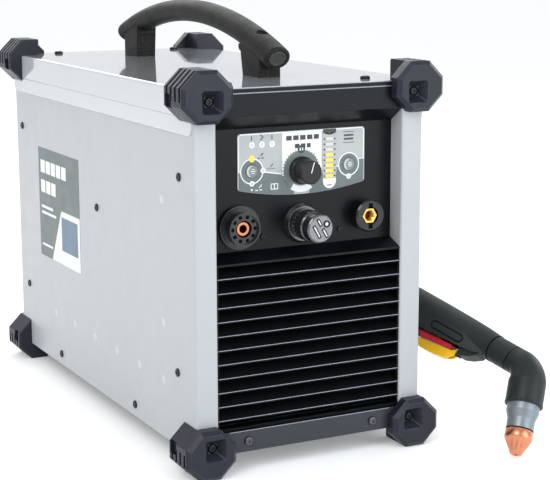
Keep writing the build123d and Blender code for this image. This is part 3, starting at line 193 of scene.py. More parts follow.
def surface(
    name, colour, rough, *, metal=0.0, coat=0.0, coat_rough=0.08, mottle=0.05, rough_spread=0.06,
    grain=650.0, depth=0.00006, strength=0.3, stretch=None, edge=0.0007, wear=0.35, worn=None,
    specks=None, speck_scale=900.0, brushed_along=None, glow=0.0, specular=0.5,
):
    """A finish: cloudy colour, fine grain in bump and gloss, softened edges, and a little wear on them."""
    graph = Graph(name)
    cloud = graph.noise(CLOUD_SCALE, 3.0)
    patches = graph.noise(PATCH_SCALE, 4.0)
    fine = graph.noise(grain, 3.0, stretch)
    if brushed_along:
        # Turned metal: fine rings round the axis.
        dot = graph.node("ShaderNodeVectorMath", operation="DOT_PRODUCT")
        dot.inputs[1].default_value = tuple(brushed_along)
        graph.join(graph.place, dot.inputs[0])
        rings = graph.node("ShaderNodeTexNoise", noise_dimensions="1D")
        rings.inputs["Scale"].default_value = 1.0
        rings.inputs["Detail"].default_value = 3.0
        graph.join(graph.times(dot.outputs["Value"], RING_SCALE), rings.inputs["W"])
        fine = rings.outputs["Fac"]
    tint = graph.mix(graph.ramp(cloud, 0.3, 0.7), shade(colour, 1 - mottle), shade(colour, 1 + mottle))
    if specks:
        mask = graph.ramp(graph.noise(speck_scale, 1.0), SPECK_FROM, SPECK_FROM + SPECK_SOFTNESS)
        tint = graph.mix(mask, tint, specks)
    bevel = graph.node("ShaderNodeBevel", samples=4)
    bevel.inputs["Radius"].default_value = edge
    flat = graph.node("ShaderNodeNewGeometry")
    turn = graph.node("ShaderNodeVectorMath", operation="DOT_PRODUCT")
    graph.join(bevel.outputs["Normal"], turn.inputs[0])
    graph.join(flat.outputs["Normal"], turn.inputs[1])
    on_edge = graph.ramp(turn.outputs["Value"], EDGE_FROM, EDGE_TO)
    chipped = graph.times(graph.times(on_edge, graph.ramp(patches, 0.42, 0.62)), float(wear))
    worn = worn or shade(colour, WORN_LIGHTER)
    graph.join(graph.mix(chipped, tint, worn), graph.shader.inputs["Base Color"])
    gloss = graph.ramp(patches, 0.3, 0.7, max(0.02, rough - rough_spread), min(1.0, rough + rough_spread))
    graph.join(gloss, graph.shader.inputs["Roughness"])
    bump = graph.node("ShaderNodeBump")
    bump.inputs["Strength"].default_value = strength
    bump.inputs["Distance"].default_value = depth
    graph.join(fine, bump.inputs["Height"])
    graph.join(bevel.outputs["Normal"], bump.inputs["Normal"])
    graph.join(bump.outputs["Normal"], graph.shader.inputs["Normal"])
    settings = {"Metallic": metal, "Coat Weight": coat, "Coat Roughness": coat_rough, "IOR": COMMON_IOR,
                "Specular IOR Level": specular}
    for key, value in settings.items():
        graph.shader.inputs[key].default_value = value
    if glow:
        graph.shader.inputs["Emission Color"].default_value = colour
        graph.shader.inputs["Emission Strength"].default_value = glow
    return graph.material


panel_paint = surface("panel_paint", srgb(173, 176, 178), 0.34, coat=0.15, coat_rough=0.15, specular=0.35,
                      mottle=0.015, grain=1100, depth=0.00003, strength=0.25, wear=0.2,
                      worn=srgb(235, 238, 240))
# The dimples' paint is lighter than the panels': a painted highlight on their domes, as they are the same
# paint.
dimple_painted_highlight = surface("dimple_painted_highlight", srgb(186, 189, 192), 0.3, coat=0.3, coat_rough=0.12, mottle=0.01,
                       grain=1100, depth=0.00002, wear=0.0)
cover_paint = surface("cover_paint", srgb(186, 189, 193), 0.12, coat=1.0, coat_rough=0.03, mottle=0.01,
                      rough_spread=0.03, grain=500, depth=0.00002, strength=0.12, wear=0.2,
                      worn=srgb(245, 246, 247))
black_paint = surface("black_paint", srgb(23, 27, 36), 0.38, specular=0.25, grain=1300, depth=0.00005)
rail_paint = surface("rail_paint", srgb(50, 52, 58), 0.33, specular=0.3, grain=1300, depth=0.00005)
fascia_plastic = surface("fascia_plastic", srgb(8, 10, 15), 0.32, specular=0.2, grain=1500,
                         depth=0.00005, worn=srgb(90, 94, 104))
grille_plastic = surface("grille_plastic", srgb(7, 8, 10), 0.5, specular=0.08, grain=1500, depth=0.00005,
                         worn=srgb(96, 98, 104))
bumper_plastic = surface("bumper_plastic", srgb(31, 34, 43), 0.40, specular=0.3, grain=1200,
                         depth=0.00008, edge=0.0011, worn=srgb(120, 124, 136), wear=0.45)
handle_plastic = surface("handle_plastic", srgb(24, 23, 21), 0.55, specular=0.22, grain=900, depth=0.00022,
                         strength=0.7, specks=srgb(80, 77, 71), speck_scale=1100, worn=srgb(88, 86, 80))
dish_plastic = surface("dish_plastic", srgb(52, 51, 48), 0.3, coat=0.3, coat_rough=0.2, grain=900,
                       depth=0.0001, specular=0.4, worn=srgb(110, 108, 102))
# Light glossy grey for thin bars along black edges: a painted highlight.
edge_painted_highlight = surface("edge_painted_highlight", srgb(128, 132, 142), 0.22, metal=0.5, coat=0.5, grain=1500, depth=0.00002)
cradle_plastic = surface("cradle_plastic", srgb(32, 33, 36), 0.5, specular=0.3, grain=1000, depth=0.0001)
screw_steel = surface("screw_steel", srgb(96, 96, 98), 0.32, metal=1.0, grain=1500, edge=0.0004)
dark_steel = surface("dark_steel", srgb(48, 48, 49), 0.26, metal=0.9, grain=1500, edge=0.0004)
overlay_film = surface("overlay_film", srgb(168, 171, 170), 0.38, coat=0.3, coat_rough=0.2, mottle=0.02,
                       grain=1800, depth=0.00002, edge=0.0003)
PRINT = {"grain": 1800, "depth": 0.00002, "edge": 0.0002}
print_slate = surface("print_slate", srgb(95, 105, 105), 0.4, mottle=0.02, **PRINT)
print_dial = surface("print_dial", srgb(104, 113, 112), 0.4, mottle=0.02, **PRINT)
print_white = surface("print_white", srgb(228, 231, 230), 0.4, mottle=0.01, **PRINT)
print_dark = surface("print_dark", srgb(48, 52, 54), 0.4, mottle=0.02, **PRINT)
print_cream = surface("print_cream", srgb(226, 228, 224), 0.42, mottle=0.01, **PRINT)
print_blue = surface("print_blue", srgb(96, 120, 140), 0.42, mottle=0.02, **PRINT)
lens_amber = surface("lens_amber", srgb(255, 190, 40), 0.25, coat=0.6, grain=1500, glow=0.45, edge=0.0003)
lens_clear = surface("lens_clear", srgb(196, 202, 208), 0.25, coat=0.6, grain=1500, edge=0.0003)
button_grey = surface("button_grey", srgb(118, 124, 124), 0.42, grain=1500, depth=0.00004, edge=0.0005)
knob_black = surface("knob_black", srgb(20, 20, 22), 0.42, specular=0.35, grain=1400, depth=0.00005,
                     worn=srgb(96, 94, 98))
regulator_gloss = surface("regulator_gloss", srgb(96, 96, 98), 0.22, metal=0.9, coat=0.3, coat_rough=0.15,
                          grain=1400, depth=0.00003, worn=srgb(150, 150, 150))
regulator_cap = surface("regulator_cap", srgb(128, 129, 131), 0.42, metal=0.3, grain=1600, depth=0.00006)
socket_black = surface("socket_black", srgb(9, 9, 11), 0.2, specular=0.35, coat=0.35, grain=1400,
                       depth=0.00002, worn=srgb(110, 110, 114))
plug_dark = surface("plug_dark", srgb(22, 22, 24), 0.28, specular=0.4, coat=0.3, coat_rough=0.15,
                    grain=1500, depth=0.00003, worn=srgb(130, 128, 126))
contact_copper = surface("contact_copper", srgb(196, 128, 92), 0.3, metal=1.0, grain=1500, edge=0.0003)
# Near black for the pilot pins: painted shade in their holes.
pin_painted_shade = surface("pin_painted_shade", srgb(30, 28, 27), 0.4, metal=0.5, grain=1500, edge=0.0003)
brass = surface("brass", srgb(224, 184, 104), 0.28, metal=1.0, grain=1500, edge=0.0004,
                worn=srgb(250, 226, 170))
shaft_steel = surface("shaft_steel", srgb(160, 160, 162), 0.3, metal=1.0, grain=1500)
board_green = surface("board_green", srgb(30, 92, 56), 0.4, coat=0.4, grain=900)
part_black = surface("part_black", srgb(40, 41, 43), 0.45, grain=1100, depth=0.00006)
alloy = surface("alloy", srgb(150, 152, 155), 0.38, metal=1.0, grain=800, stretch=(1, 0.1, 1))
core_iron = surface("core_iron", srgb(84, 70, 62), 0.6, grain=500, stretch=(1, 8, 1), depth=0.0002)
torch_plastic = surface("torch_plastic", srgb(28, 34, 34), 0.46, specular=0.3, grain=1300,
                        depth=0.0001, strength=0.5, worn=srgb(84, 90, 90), edge=0.0009)
# Near black for seams, grooves, holes and slot walls: painted shade.
groove_painted_shade = surface("groove_painted_shade", srgb(5, 6, 6), 0.7, specular=0.1, grain=1300)
cup_steel = surface("cup_steel", srgb(128, 137, 142), 0.42, metal=0.55, brushed_along=HEAD, depth=0.00004,
                    strength=0.6, mottle=0.06)
nozzle_copper = surface("nozzle_copper", srgb(214, 142, 108), 0.3, metal=1.0, brushed_along=HEAD,
                        depth=0.00002, strength=0.3, worn=srgb(248, 200, 172), mottle=0.06)
trigger_red = surface("trigger_red", srgb(196, 14, 38), 0.3, specular=0.35, coat=0.1, grain=1200,
                      worn=srgb(226, 80, 92))
lever_yellow = surface("lever_yellow", srgb(246, 194, 8), 0.36, specular=0.35, coat=0.1, grain=1200,
                       worn=srgb(255, 226, 110))
floor_white = surface("floor_white", (0.94, 0.943, 0.946, 1), 0.9, specular=0.1, glow=0.22, mottle=0.004,
                      rough_spread=0.02, grain=40, depth=0.00002, wear=0.0)

NODE_FINISH = {
    panel_paint: ["left_side_panel", "right_side_panel"],
    cover_paint: ["top_cover"],
    black_paint: ["rear_panel", "fan_guard"],
    rail_paint: ["chassis_base"],
    fascia_plastic: ["front_fascia"],
    grille_plastic: ["front_grille"],
    bumper_plastic: [f"bumper_{end}_{level}_{side}" for end in ("front", "rear")
                     for level in ("top", "bottom") for side in ("left", "right")],
    handle_plastic: ["handle_grip", "handle_foot_front", "handle_foot_rear"],
    cradle_plastic: ["torch_cradle"],
    screw_steel: ["rail_screws"],
    dark_steel: ["fascia_screws", "handle_screws", "side_panel_screws", "cover_screws", "bumper_screws"],
    overlay_film: ["control_overlay"],
    lens_clear: ["status_leds"],
    lens_amber: ["pressure_leds"],
    knob_black: ["current_knob", "mains_switch_knob"],
    button_grey: ["mode_button", "air_button"],
    regulator_gloss: ["regulator_knob", "regulator_collar"],
    socket_black: ["earth_socket_shell"],
    plug_dark: ["torch_socket_shell"],
    contact_copper: ["torch_socket_contacts"],
    brass: ["earth_socket_insert", "air_inlet_fitting"],
    shaft_steel: ["potentiometer_shaft", "regulator_stem"],
    board_green: ["control_board", "power_board"],
    part_black: ["potentiometer_body", "solenoid_valve", "fan_frame", "fan_rotor", "mains_switch_body",
                 "mains_cable_gland"],
    alloy: ["regulator_body", "heatsink"],
    core_iron: ["main_transformer"],
    torch_plastic: ["torch_handle_left", "torch_handle_right", "torch_head"],
    cup_steel: ["torch_shield_cup"],
    nozzle_copper: ["torch_nozzle"],
    trigger_red: ["torch_trigger"],
    lever_yellow: ["torch_safety_lever"],
}
for finish, names in NODE_FINISH.items():
    for name in names:
        for place in nodes[name].material_slots:
            place.material = finish

# ------------------------------------------------------------ mesh helpers


def new_piece(name, mesh, materials, body):
    piece = bpy.data.objects.new(name, mesh)
    scene.collection.objects.link(piece)
    for material in materials:
        mesh.materials.append(material)
    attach(piece, body)
    return piece


def from_bmesh(name, bm, materials, body, sharp=35.0):
    """Turns a bmesh into a piece, smooth except over edges sharper than the angle."""
    bmesh.ops.recalc_face_normals(bm, faces=bm.faces)
    limit = math.radians(sharp)
    for face in bm.faces:
        face.smooth = True
    for edge in bm.edges:
        edge.smooth = len(edge.link_faces) == 2 and edge.calc_face_angle(0.0) < limit
    mesh = bpy.data.meshes.new(name)
    bm.to_mesh(mesh)
    bm.free()
    return new_piece(name, mesh, materials, body)


def skin(bm, loops):
    """Joins each loop to the next with faces. A loop of one point closes to a tip."""
    for first, second in zip(loops, loops[1:]):
        count = max(len(first), len(second))
        for i in range(count):
            j = (i + 1) % count
            corners = (first[i % len(first)], first[j % len(first)],
                       second[j % len(second)], second[i % len(second)])
            bm.faces.new(list(dict.fromkeys(corners)))


def lathe(bm, centre, axis, profile, count=32):
    """Adds a turned solid. The profile is (radius, height along the axis) from the middle out and back."""
    axis = Vector(axis).normalized()
    side = axis.orthogonal().normalized()
    other = axis.cross(side)
    centre = Vector(centre)
    loops = []
    for radius, height in profile:
        turns = [2 * math.pi * i / count for i in range(count)] if radius else [0.0]
        loops.append([
            bm.verts.new((centre + axis * height + (side * math.cos(t) + other * math.sin(t)) * radius) * MM)
            for t in turns])
    skin(bm, loops)


def lip(bm, corners, half_width):
    """A bar along x, centred, from its (y, z) outline."""
    ends = [[bm.verts.new((x * MM, y * MM, z * MM)) for y, z in corners] for x in (-half_width, half_width)]
    count = len(corners)
    bm.faces.new(ends[0])
    bm.faces.new(ends[1][::-1])
    for i in range(count):
        j = (i + 1) % count
        bm.faces.new((ends[0][i], ends[0][j], ends[1][j], ends[1][i]))


def circle(x, z, radius, count=56):
    return [(x + radius * math.cos(t), z + radius * math.sin(t))
            for t in (2 * math.pi * i / count for i in range(count))]


def ring(x, z, inner, outer, count=56):
    return [circle(x, z, outer, count), circle(x, z, inner, count)]


def bar(x, z, width, height, turn=0.0):
    c, s = math.cos(math.radians(turn)), math.sin(math.radians(turn))
    corners = ((-width, -height), (width, -height), (width, height), (-width, height))
    return [(x + (a * c - b * s) / 2, z + (a * s + b * c) / 2) for a, b in corners]


def rounded(x, z, width, height, radius, count=6):
    loop = []
    for quarter, (a, b) in enumerate(((1, 1), (-1, 1), (-1, -1), (1, -1))):
        cx, cz = x + a * (width / 2 - radius), z + b * (height / 2 - radius)
        for i in range(count + 1):
            t = math.pi / 2 * (quarter + i / count)
            loop.append((cx + radius * math.cos(t), cz + radius * math.sin(t)))
    return loop


def band(points, width):
    """A loop along a line of points, with the width across it."""
    left, right = [], []
    for index, point in enumerate(points):
        before, after = points[max(0, index - 1)], points[min(len(points) - 1, index + 1)]
        dx, dz = after[0] - before[0], after[1] - before[1]
        size = math.hypot(dx, dz)
        nx, nz = -dz / size * width / 2, dx / size * width / 2
        left.append((point[0] + nx, point[1] + nz))
        right.append((point[0] - nx, point[1] - nz))
    return left + right[::-1]


def arc(x, z, radius, start, end, count=24):
    """Points on an arc, by angles in degrees from the x axis."""
    return [(x + radius * math.cos(math.radians(t)), z + radius * math.sin(math.radians(t)))
            for t in (start + (end - start) * i / count for i in range(count + 1))]


def on_front(y):
    """Puts a flat drawing on a plane facing the front: drawing x is right, drawing y is up."""
    return Matrix(((1, 0, 0, 0), (0, 0, -1, y * MM), (0, 1, 0, 0), (0, 0, 0, 1)))


def on_left(x):
    """The same for a plane facing left: drawing x is towards the front."""
    return Matrix(((0, 0, -1, x * MM), (-1, 0, 0, 0), (0, 1, 0, 0), (0, 0, 0, 1)))


def on_rear(y):
    """The same for a plane facing the rear: drawing x runs towards the left of the case."""
    return Matrix(((-1, 0, 0, 0), (0, 0, 1, y * MM), (0, 1, 0, 0), (0, 0, 0, 1)))


def printed(name, loops, plane, lift, thick, material, body):
    """Thin raised flat shapes. A loop inside another is a hole."""
    curve = bpy.data.curves.new(name, "CURVE")
    curve.dimensions, curve.fill_mode, curve.extrude = "2D", "BOTH", thick * MM / 2
    for loop in loops:
        spline = curve.splines.new("POLY")
        spline.points.add(len(loop) - 1)
        for point, (u, v) in zip(spline.points, loop):
            point.co = (u * MM, v * MM, 0, 1)
        spline.use_cyclic_u = True
    drawing = bpy.data.objects.new(name + "_drawing", curve)
    mesh = bpy.data.meshes.new_from_object(drawing)
    bpy.data.objects.remove(drawing)
    bpy.data.curves.remove(curve)
    mesh.name = name
    mesh.materials.clear()
    mesh.transform(plane @ Matrix.Translation((0, 0, (lift + thick / 2) * MM)))
    return new_piece(name, mesh, [material], body)


# ------------------------------------------------------------ control panel print

FILM = 0.06
panel_face = on_front(OVERLAY_FRONT)
ring_leds = [(MODE_AT[0], MODE_AT[1] + MODE_RING), (MODE_AT[0] + MODE_RING, MODE_AT[1]),
             (MODE_AT[0], MODE_AT[1] - MODE_RING), (AIR_AT[0], AIR_AT[1] - MODE_RING)]


def panel_print(name, loops, layer, material):
    """Print on the overlay. Each layer lies one film thickness above the one below."""
    printed(name, loops, panel_face, layer * FILM, FILM, material, "case")


FOOT_LOW, FOOT_HALF, FOOT_RISE, FOOT_STEPS, FOOT_MARGIN = 266.5, 70.0, 8.0, 14, 0.15


def film_foot(x):
    """The overlay's curved lower edge, by its circle through the middle and the two ends."""
    radius = (FOOT_HALF * FOOT_HALF + FOOT_RISE * FOOT_RISE) / (2 * FOOT_RISE)
    return FOOT_LOW + radius - math.sqrt(radius * radius - x * x)


def lower_area(x_from, x_to, top_points):
    """An area that the overlay's lower edge bounds below."""
    across = [x_from + (x_to - x_from) * i / FOOT_STEPS for i in range(FOOT_STEPS + 1)]
    return [(x, film_foot(x) + FOOT_MARGIN) for x in across] + top_points


slate_loops = [
    lower_area(-69.0, -20.0, [(-20.0, 286.6), (-42.0, 290.4), (-43.0, 291.5), (-66.0, 291.5),
                              (-69.0, 291.5)]),
    lower_area(-20.0, -9.0, [(-9.0, 273.6), (-15.0, 277.0), (-20.0, 283.0)]),
    lower_area(8.0, 38.5, [(38.5, 285.6), (20.0, 285.6), (14.0, 278.0), (8.0, 273.6)]),
    lower_area(38.5, 69.0, [(69.0, 296.6), (62.0, 296.6), (42.0, 290.6), (38.5, 290.0)]),
]
panel_print("panel_print_slate", slate_loops, 0, print_slate)

white_lines = [
    band([(-69.0, 292.2), (-69.0, 325.5), (-66.8, 328.0), (66.8, 328.0), (69.0, 325.5), (69.0, 297.2),
          (62.8, 297.2)], LINE_WIDTH),
    band([(-69.0, 292.2), (-66.6, 292.2)], LINE_WIDTH),
    band([(-42.6, 291.0), (-20.6, 287.4)], LINE_WIDTH),
    band([(38.6, 291.0), (41.0, 291.6)], LINE_WIDTH),
]
panel_print("panel_print_outline", white_lines, 1, print_white)
centre_band = [(-22.0, 327.4), (-22.0, 285.6)] + arc(*KNOB_AT, 12.9, 200, -20)
centre_band += [(21.5, 285.6), (21.5, 327.4)]
panel_print("panel_print_centre", [centre_band], 1, print_white)

DIAL_HOLE, DIAL = 12.8, 19.6
panel_print("panel_print_dial", ring(*KNOB_AT, DIAL_HOLE, DIAL), 2, print_dial)
foot_patch = band(arc(*KNOB_AT, 18.4, 236, 304, 20), 6.4)
panel_print("panel_print_dial_foot", [foot_patch], 3, print_white)
ticks = []
TICKS, TICK_FROM, TICK_SWEEP, SHORT_TICK, LONG_TICK = 30, -43, 266, 20.6, 21.4
for index in range(TICKS + 1):
    angle = math.radians(TICK_FROM + TICK_SWEEP * index / TICKS)
    reach = SHORT_TICK if index % 5 else LONG_TICK
    middle = (reach + DIAL) / 2
    ticks.append(bar(KNOB_AT[0] + middle * math.cos(angle), KNOB_AT[1] + middle * math.sin(angle),
                     reach - DIAL + 0.2, 0.8, math.degrees(angle)))
panel_print("panel_print_ticks", ticks, 2, print_dark)
badge = (KNOB_AT[0], KNOB_AT[1] + 20.6)
panel_print("panel_print_badge", [circle(*badge, 4.1, 32)], 3, print_dark)
badge_mark = [bar(badge[0] + side * 1.3, badge[1], 1.3, 3.0) for side in (-1, 1)]
panel_print("panel_print_badge_mark", badge_mark, 4, print_white)

# Plain blocks and strokes stand for words and symbols.
blocks = [bar(x, 322.0, w, 4.6) for x, w in ((-14.6, 6.0), (-7.0, 6.0), (0.6, 6.0), (8.2, 6.0), (15.6, 5.6))]
blocks += [bar(x, 313.9, w, 4.2) for x, w in ((-5.6, 5.0), (1.0, 5.0), (7.2, 4.2))]
blocks += [bar(52.0, 324.6, 12.5, 0.5), bar(52.0, 314.0, 12.5, 0.5), bar(52.0, 321.2, 10.5, 1.7),
           bar(52.0, 317.6, 10.5, 1.7)]
blocks += [bar(x, z + 6.6, 0.8, 4.2) for x, z in STATUS_AT[::2]] + [bar(*STATUS_AT[1], 0.1, 0.1)]
blocks += [bar(STATUS_AT[1][0], 323.4, 4.2, 0.9, 40), bar(STATUS_AT[1][0], 326.0, 4.2, 0.9, -40)]
blocks += [bar(-47.4, 304.6, 3.0, 0.9), bar(-43.0, 304.6, 3.0, 0.9), bar(-44.0, 308.0, 4.2, 0.9, 45)]
blocks += [bar(-38.2 + 1.9 * i, 293.6, 0.9, 0.9) for i in range(5)] + [bar(-33.4, 297.0, 4.2, 0.9, 45)]
panel_print("panel_print_blocks", blocks, 2, print_dark)
pale = [bar(-54.9, 274.4, 2.0, 1.8), bar(-49.8, 273.6, 3.0, 0.9), bar(-45.4, 273.8, 3.0, 0.9),
        bar(-45.6, 277.4, 4.2, 0.9, 45)]
pale += [rounded(-30.5, 276.0, 8.0, 6.0, 0.5), rounded(-32.3, 276.0, 2.6, 4.4, 0.3),
         rounded(-28.7, 276.0, 2.6, 4.4, 0.3)]
panel_print("panel_print_pale_marks", pale, 1, print_cream)

for label, (x, z) in (("mode", MODE_AT), ("air", AIR_AT)):
    radius = MODE_RING if label == "mode" else AIR_RING
    panel_print(f"{label}_ring_ground", ring(x, z, BUTTON_HOLE, radius), 2, print_slate)
    ring_line = ring(x, z, radius - LINE_WIDTH / 2, radius + LINE_WIDTH / 2)
    panel_print(f"{label}_ring_line", ring_line, 3, print_white)
    swirl = [band(arc(x, z, 5.4, 95, 250, 16), 0.6), band(arc(x, z, 4.2, 110, 235, 14), 0.5),
             bar(x + 0.8, z, 5.2, 0.8), bar(x + 0.8, z + 1.9, 3.6, 0.7), bar(x + 0.8, z - 1.9, 3.6, 0.7)]
    printed(f"{label}_button_mark", swirl, on_front(BUTTON_FACE), 0, 0.05, print_cream, f"{label}_button")
RIM_INNER, STATUS_RIM, RING_RIM = LED_RADIUS + 0.1, 3.1, 2.7
rims = []
for x, z in STATUS_AT:
    rims += ring(x, z, RIM_INNER, STATUS_RIM, 28)
for x, z in ring_leds[1:]:
    rims += ring(x, z, RIM_INNER, RING_RIM, 28)
panel_print("led_rims", rims, 4, print_white)
printed("led_rim_lit", ring(*ring_leds[0], RIM_INNER, STATUS_RIM, 28), panel_face, 4 * FILM, FILM,
        lens_amber, "case")
printed("led_lit", [circle(*ring_leds[0], LED_RADIUS - 0.1, 24)], on_front(OVERLAY_FRONT - 0.3), 0, 0.05,
        lens_amber, "case")

# The pressure column: a dark head, marks each side of eight lamps, and a white foot.
column_end = arc(BAR_X, 277.0, 7.2, 180, 360, 18)
column = [(23.0, 328.6), (23.0, 276.8)] + column_end + [(37.6, 276.8), (37.6, 328.6)]
lamp_holes = [bar(BAR_X, BAR_TOP - BAR_PITCH * i, 8.4, 3.3) for i in range(BAR_COUNT)]
panel_print("column_ground", [column] + lamp_holes, 2, overlay_film)
panel_print("column_foot", [[(23.0, 279.6), (23.0, 277.0)] + column_end + [(37.8, 279.6)]], 3, print_white)
marks = [bar(BAR_X, 326.6, 14.4, 3.6), bar(BAR_X, 324.0, 2.4, 2.0)]
for i in range(BAR_COUNT):
    z = BAR_TOP - BAR_PITCH * i
    marks += [bar(24.6, z, 1.6, 1.5), bar(36.2, z, 1.6, 1.5)]
marks += [bar(BAR_X, 273.0, 5.0, 0.9)]
panel_print("column_marks", marks, 4, print_dark)
unlit = [rounded(BAR_X, BAR_TOP - BAR_PITCH * i, 7.6, 2.8, 0.3) for i in range(BAR_COUNT - BARS_LIT)]
printed("column_unlit", unlit, on_front(OVERLAY_FRONT - 0.2), 0, 0.05, lens_clear, "case")

# ------------------------------------------------------------ knob and regulator marks

POINTER_TURN, POINTER_FROM, POINTER_TO, POINTER_WIDTH = 17, -0.5, 10.4, 0.9
pointer_middle = (POINTER_FROM + POINTER_TO) / 2
printed("knob_pointer", [bar(KNOB_AT[0] + pointer_middle * math.sin(math.radians(POINTER_TURN)),
                             KNOB_AT[1] + pointer_middle * math.cos(math.radians(POINTER_TURN)),
                             POINTER_WIDTH, POINTER_TO - POINTER_FROM, -POINTER_TURN)],
        on_front(KNOB_FACE), 0, 0.08, print_white, "current_dial")

rx, rz = REGULATOR_AT
printed("regulator_cap_disc", [circle(rx, rz, 12.4)], on_front(REGULATOR_FACE), 0, 0.3, regulator_cap,
        "regulator_cap")
slots, slot_floors = [], []
for u, v, length in ((-1.6, 6.4, 8.0), (-4.4, -2.4, 14.0), (4.6, -4.2, 10.0)):
    cx, cz = rx + u, rz + v
    slots += [bar(cx, cz, 3.2, length, 30), bar(cx, cz, 1.9, length - 1.4, 30)]
    slot_floors.append(bar(cx, cz, 1.1, length - 2.4, 30))
slots += ring(rx + 6.2, rz + 4.6, 2.3, 3.5, 32)
slot_floors += ring(rx + 6.2, rz + 4.6, 0.5, 1.5, 24)
# The slots' dark frames are painted shade on their walls.
printed("regulator_cap_frames", slots, on_front(REGULATOR_FACE), 0.3, 0.5, groove_painted_shade, "regulator_cap")
printed("regulator_cap_marks", slot_floors, on_front(REGULATOR_FACE), 0.3, 0.45, print_cream,
        "regulator_cap")

# The torch socket's centre contact is copper; its pilot pins are painted near black, a painted shade for
# their holes.
contacts = nodes["torch_socket_contacts"]
contact_mesh = contacts.data.copy()
contact_mesh.materials.clear()
contact_piece = new_piece("torch_socket_contacts_copper_and_painted_shade", contact_mesh, [contact_copper, pin_painted_shade], "case")
contact_piece.matrix_world = contacts.matrix_world.copy()
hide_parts("torch_socket_contacts")
socket_x, socket_z, CENTRE_CONTACT = -69.0 * MM, 238.9 * MM, 7.0 * MM
for polygon in contact_mesh.polygons:
    middle = contacts.matrix_world @ polygon.center
    polygon.material_index = int(math.hypot(middle.x - socket_x, middle.z - socket_z) > CENTRE_CONTACT)

# The earth socket's insert again: a hexagon with a bevelled rim and a round hole with thread-like grooves.
# HEX_HALF is half the angle that one side of the hexagon spans.
EARTH_AT, EARTH_FACE, EARTH_BORE = (69.0, 241.0), FRONT + 6.5, 4.5
GROOVES, GROOVE_PITCH, CREST, ROOT, STEPS = 7, 1.2, EARTH_BORE + 0.1, EARTH_BORE + 0.55, 60
HEX_HALF = math.pi / 6
outer = [(8.65, EARTH_FACE + 43.5), (8.65, EARTH_FACE + 0.6), (8.1, EARTH_FACE)]
bore = [(EARTH_BORE + 1.2, EARTH_FACE), (ROOT, EARTH_FACE + 0.7)]
for i in range(GROOVES):
    bore += [(CREST, EARTH_FACE + 1.1 + GROOVE_PITCH * i), (ROOT, EARTH_FACE + 1.7 + GROOVE_PITCH * i)]
bore += [(CREST, EARTH_FACE + 30.0)]
hexagon = bmesh.new()
loops = []
for radius, y, sided in [(*row, True) for row in outer] + [(*row, False) for row in bore]:
    loop = []
    for i in range(STEPS):
        t = 2 * math.pi * i / STEPS
        within = (t + HEX_HALF) % (2 * HEX_HALF) - HEX_HALF
        reach = radius * math.cos(HEX_HALF) / math.cos(within) if sided else radius
        loop.append(hexagon.verts.new(((EARTH_AT[0] + reach * math.cos(t + HEX_HALF)) * MM, y * MM,
                                       (EARTH_AT[1] + reach * math.sin(t + HEX_HALF)) * MM)))
    loops.append(loop)
skin(hexagon, loops)
hexagon.faces.new(loops[0])
hexagon.faces.new(loops[-1])
insert = from_bmesh("earth_socket_hexagon", hexagon, [brass], "case", 30)
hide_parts("earth_socket_insert")

# ------------------------------------------------------------ side label

left_face = on_left(-SIDE)


def on_label(points):
    """Label corners, given as (y, z), turned into the drawing's own x."""
    return [(-y, z) for y, z in points]


LABEL_REAR, LABEL_FRONT, LABEL_LOW, LABEL_HIGH = 185.5, 48.5, 142.0, 271.5
printed("side_label_ground", [on_label([(LABEL_REAR, LABEL_LOW), (LABEL_FRONT, LABEL_LOW),
                                        (LABEL_FRONT, LABEL_HIGH), (LABEL_REAR, LABEL_HIGH)])],
        left_face, 0, 0.12, print_slate, "case")
printed("side_label_field", [on_label([(144.0, LABEL_LOW + 0.3), (LABEL_FRONT + 0.3, LABEL_LOW + 0.3),
                                       (LABEL_FRONT + 0.3, 205.0), (108.0, 205.0), (111.0, 202.0)])],
        left_face, 0.12, 0.1, print_cream, "case")
printed("side_label_panel", [on_label([(109.0, 159.0), (56.0, 159.0), (56.0, 198.0), (109.0, 198.0)])],
        left_face, 0.22, 0.1, print_blue, "case")
BLOCK, BLOCK_CORNER, BLOCK_REAR, BLOCK_PITCH = 15.0, 1.2, -170.5, 18.0
label_bars = []
for z, count in ((249.5, 5), (226.0, 3)):
    for i in range(count):
        label_bars.append(rounded(BLOCK_REAR + BLOCK_PITCH * i, z, BLOCK, BLOCK, BLOCK_CORNER))
label_bars += [bar(-158.0, 201.5, 40.0, 3.2), bar(-153.0, 194.5, 50.0, 3.2), bar(-160.0, 156.0, 36.0, 2.6)]
printed("side_label_bars", label_bars, left_face, 0.12, 0.1, print_white, "case")

# ------------------------------------------------------------ rear plate and switch marks

rear_face = on_rear(REAR_PANEL)
PLATE_AT, PLATE_WIDTH, PLATE_HEIGHT = (0.0, 300.0), 56.0, 34.0
printed("rear_plate_ground", [rounded(*PLATE_AT, PLATE_WIDTH, PLATE_HEIGHT, 2.0)], rear_face, 0, 0.3,
        overlay_film, "case")
PLATE_LINE_TOP, PLATE_LINE_PITCH, PLATE_LINE = 309.0, 6.0, 0.7
plate_lines = [bar(x, PLATE_LINE_TOP - PLATE_LINE_PITCH * row, length, PLATE_LINE)
               for row, (x, length) in enumerate(((0.0, 46.0), (-12.0, 24.0)) * 2)]
printed("rear_plate_lines", plate_lines, rear_face, 0.3, 0.1, print_slate, "case")
SWITCH_AT, SWITCH_MARK_OUT = (66.0, 290.0), 27.0
switch_marks = ring(SWITCH_AT[0], SWITCH_AT[1] + SWITCH_MARK_OUT, 1.9, 2.6)
switch_marks.append(bar(SWITCH_AT[0] - SWITCH_MARK_OUT, SWITCH_AT[1], 1.0, 5.2))
printed("rear_switch_marks", switch_marks, rear_face, 0, 0.1, print_white, "case")

# ------------------------------------------------------------ pressed dimples and small screws

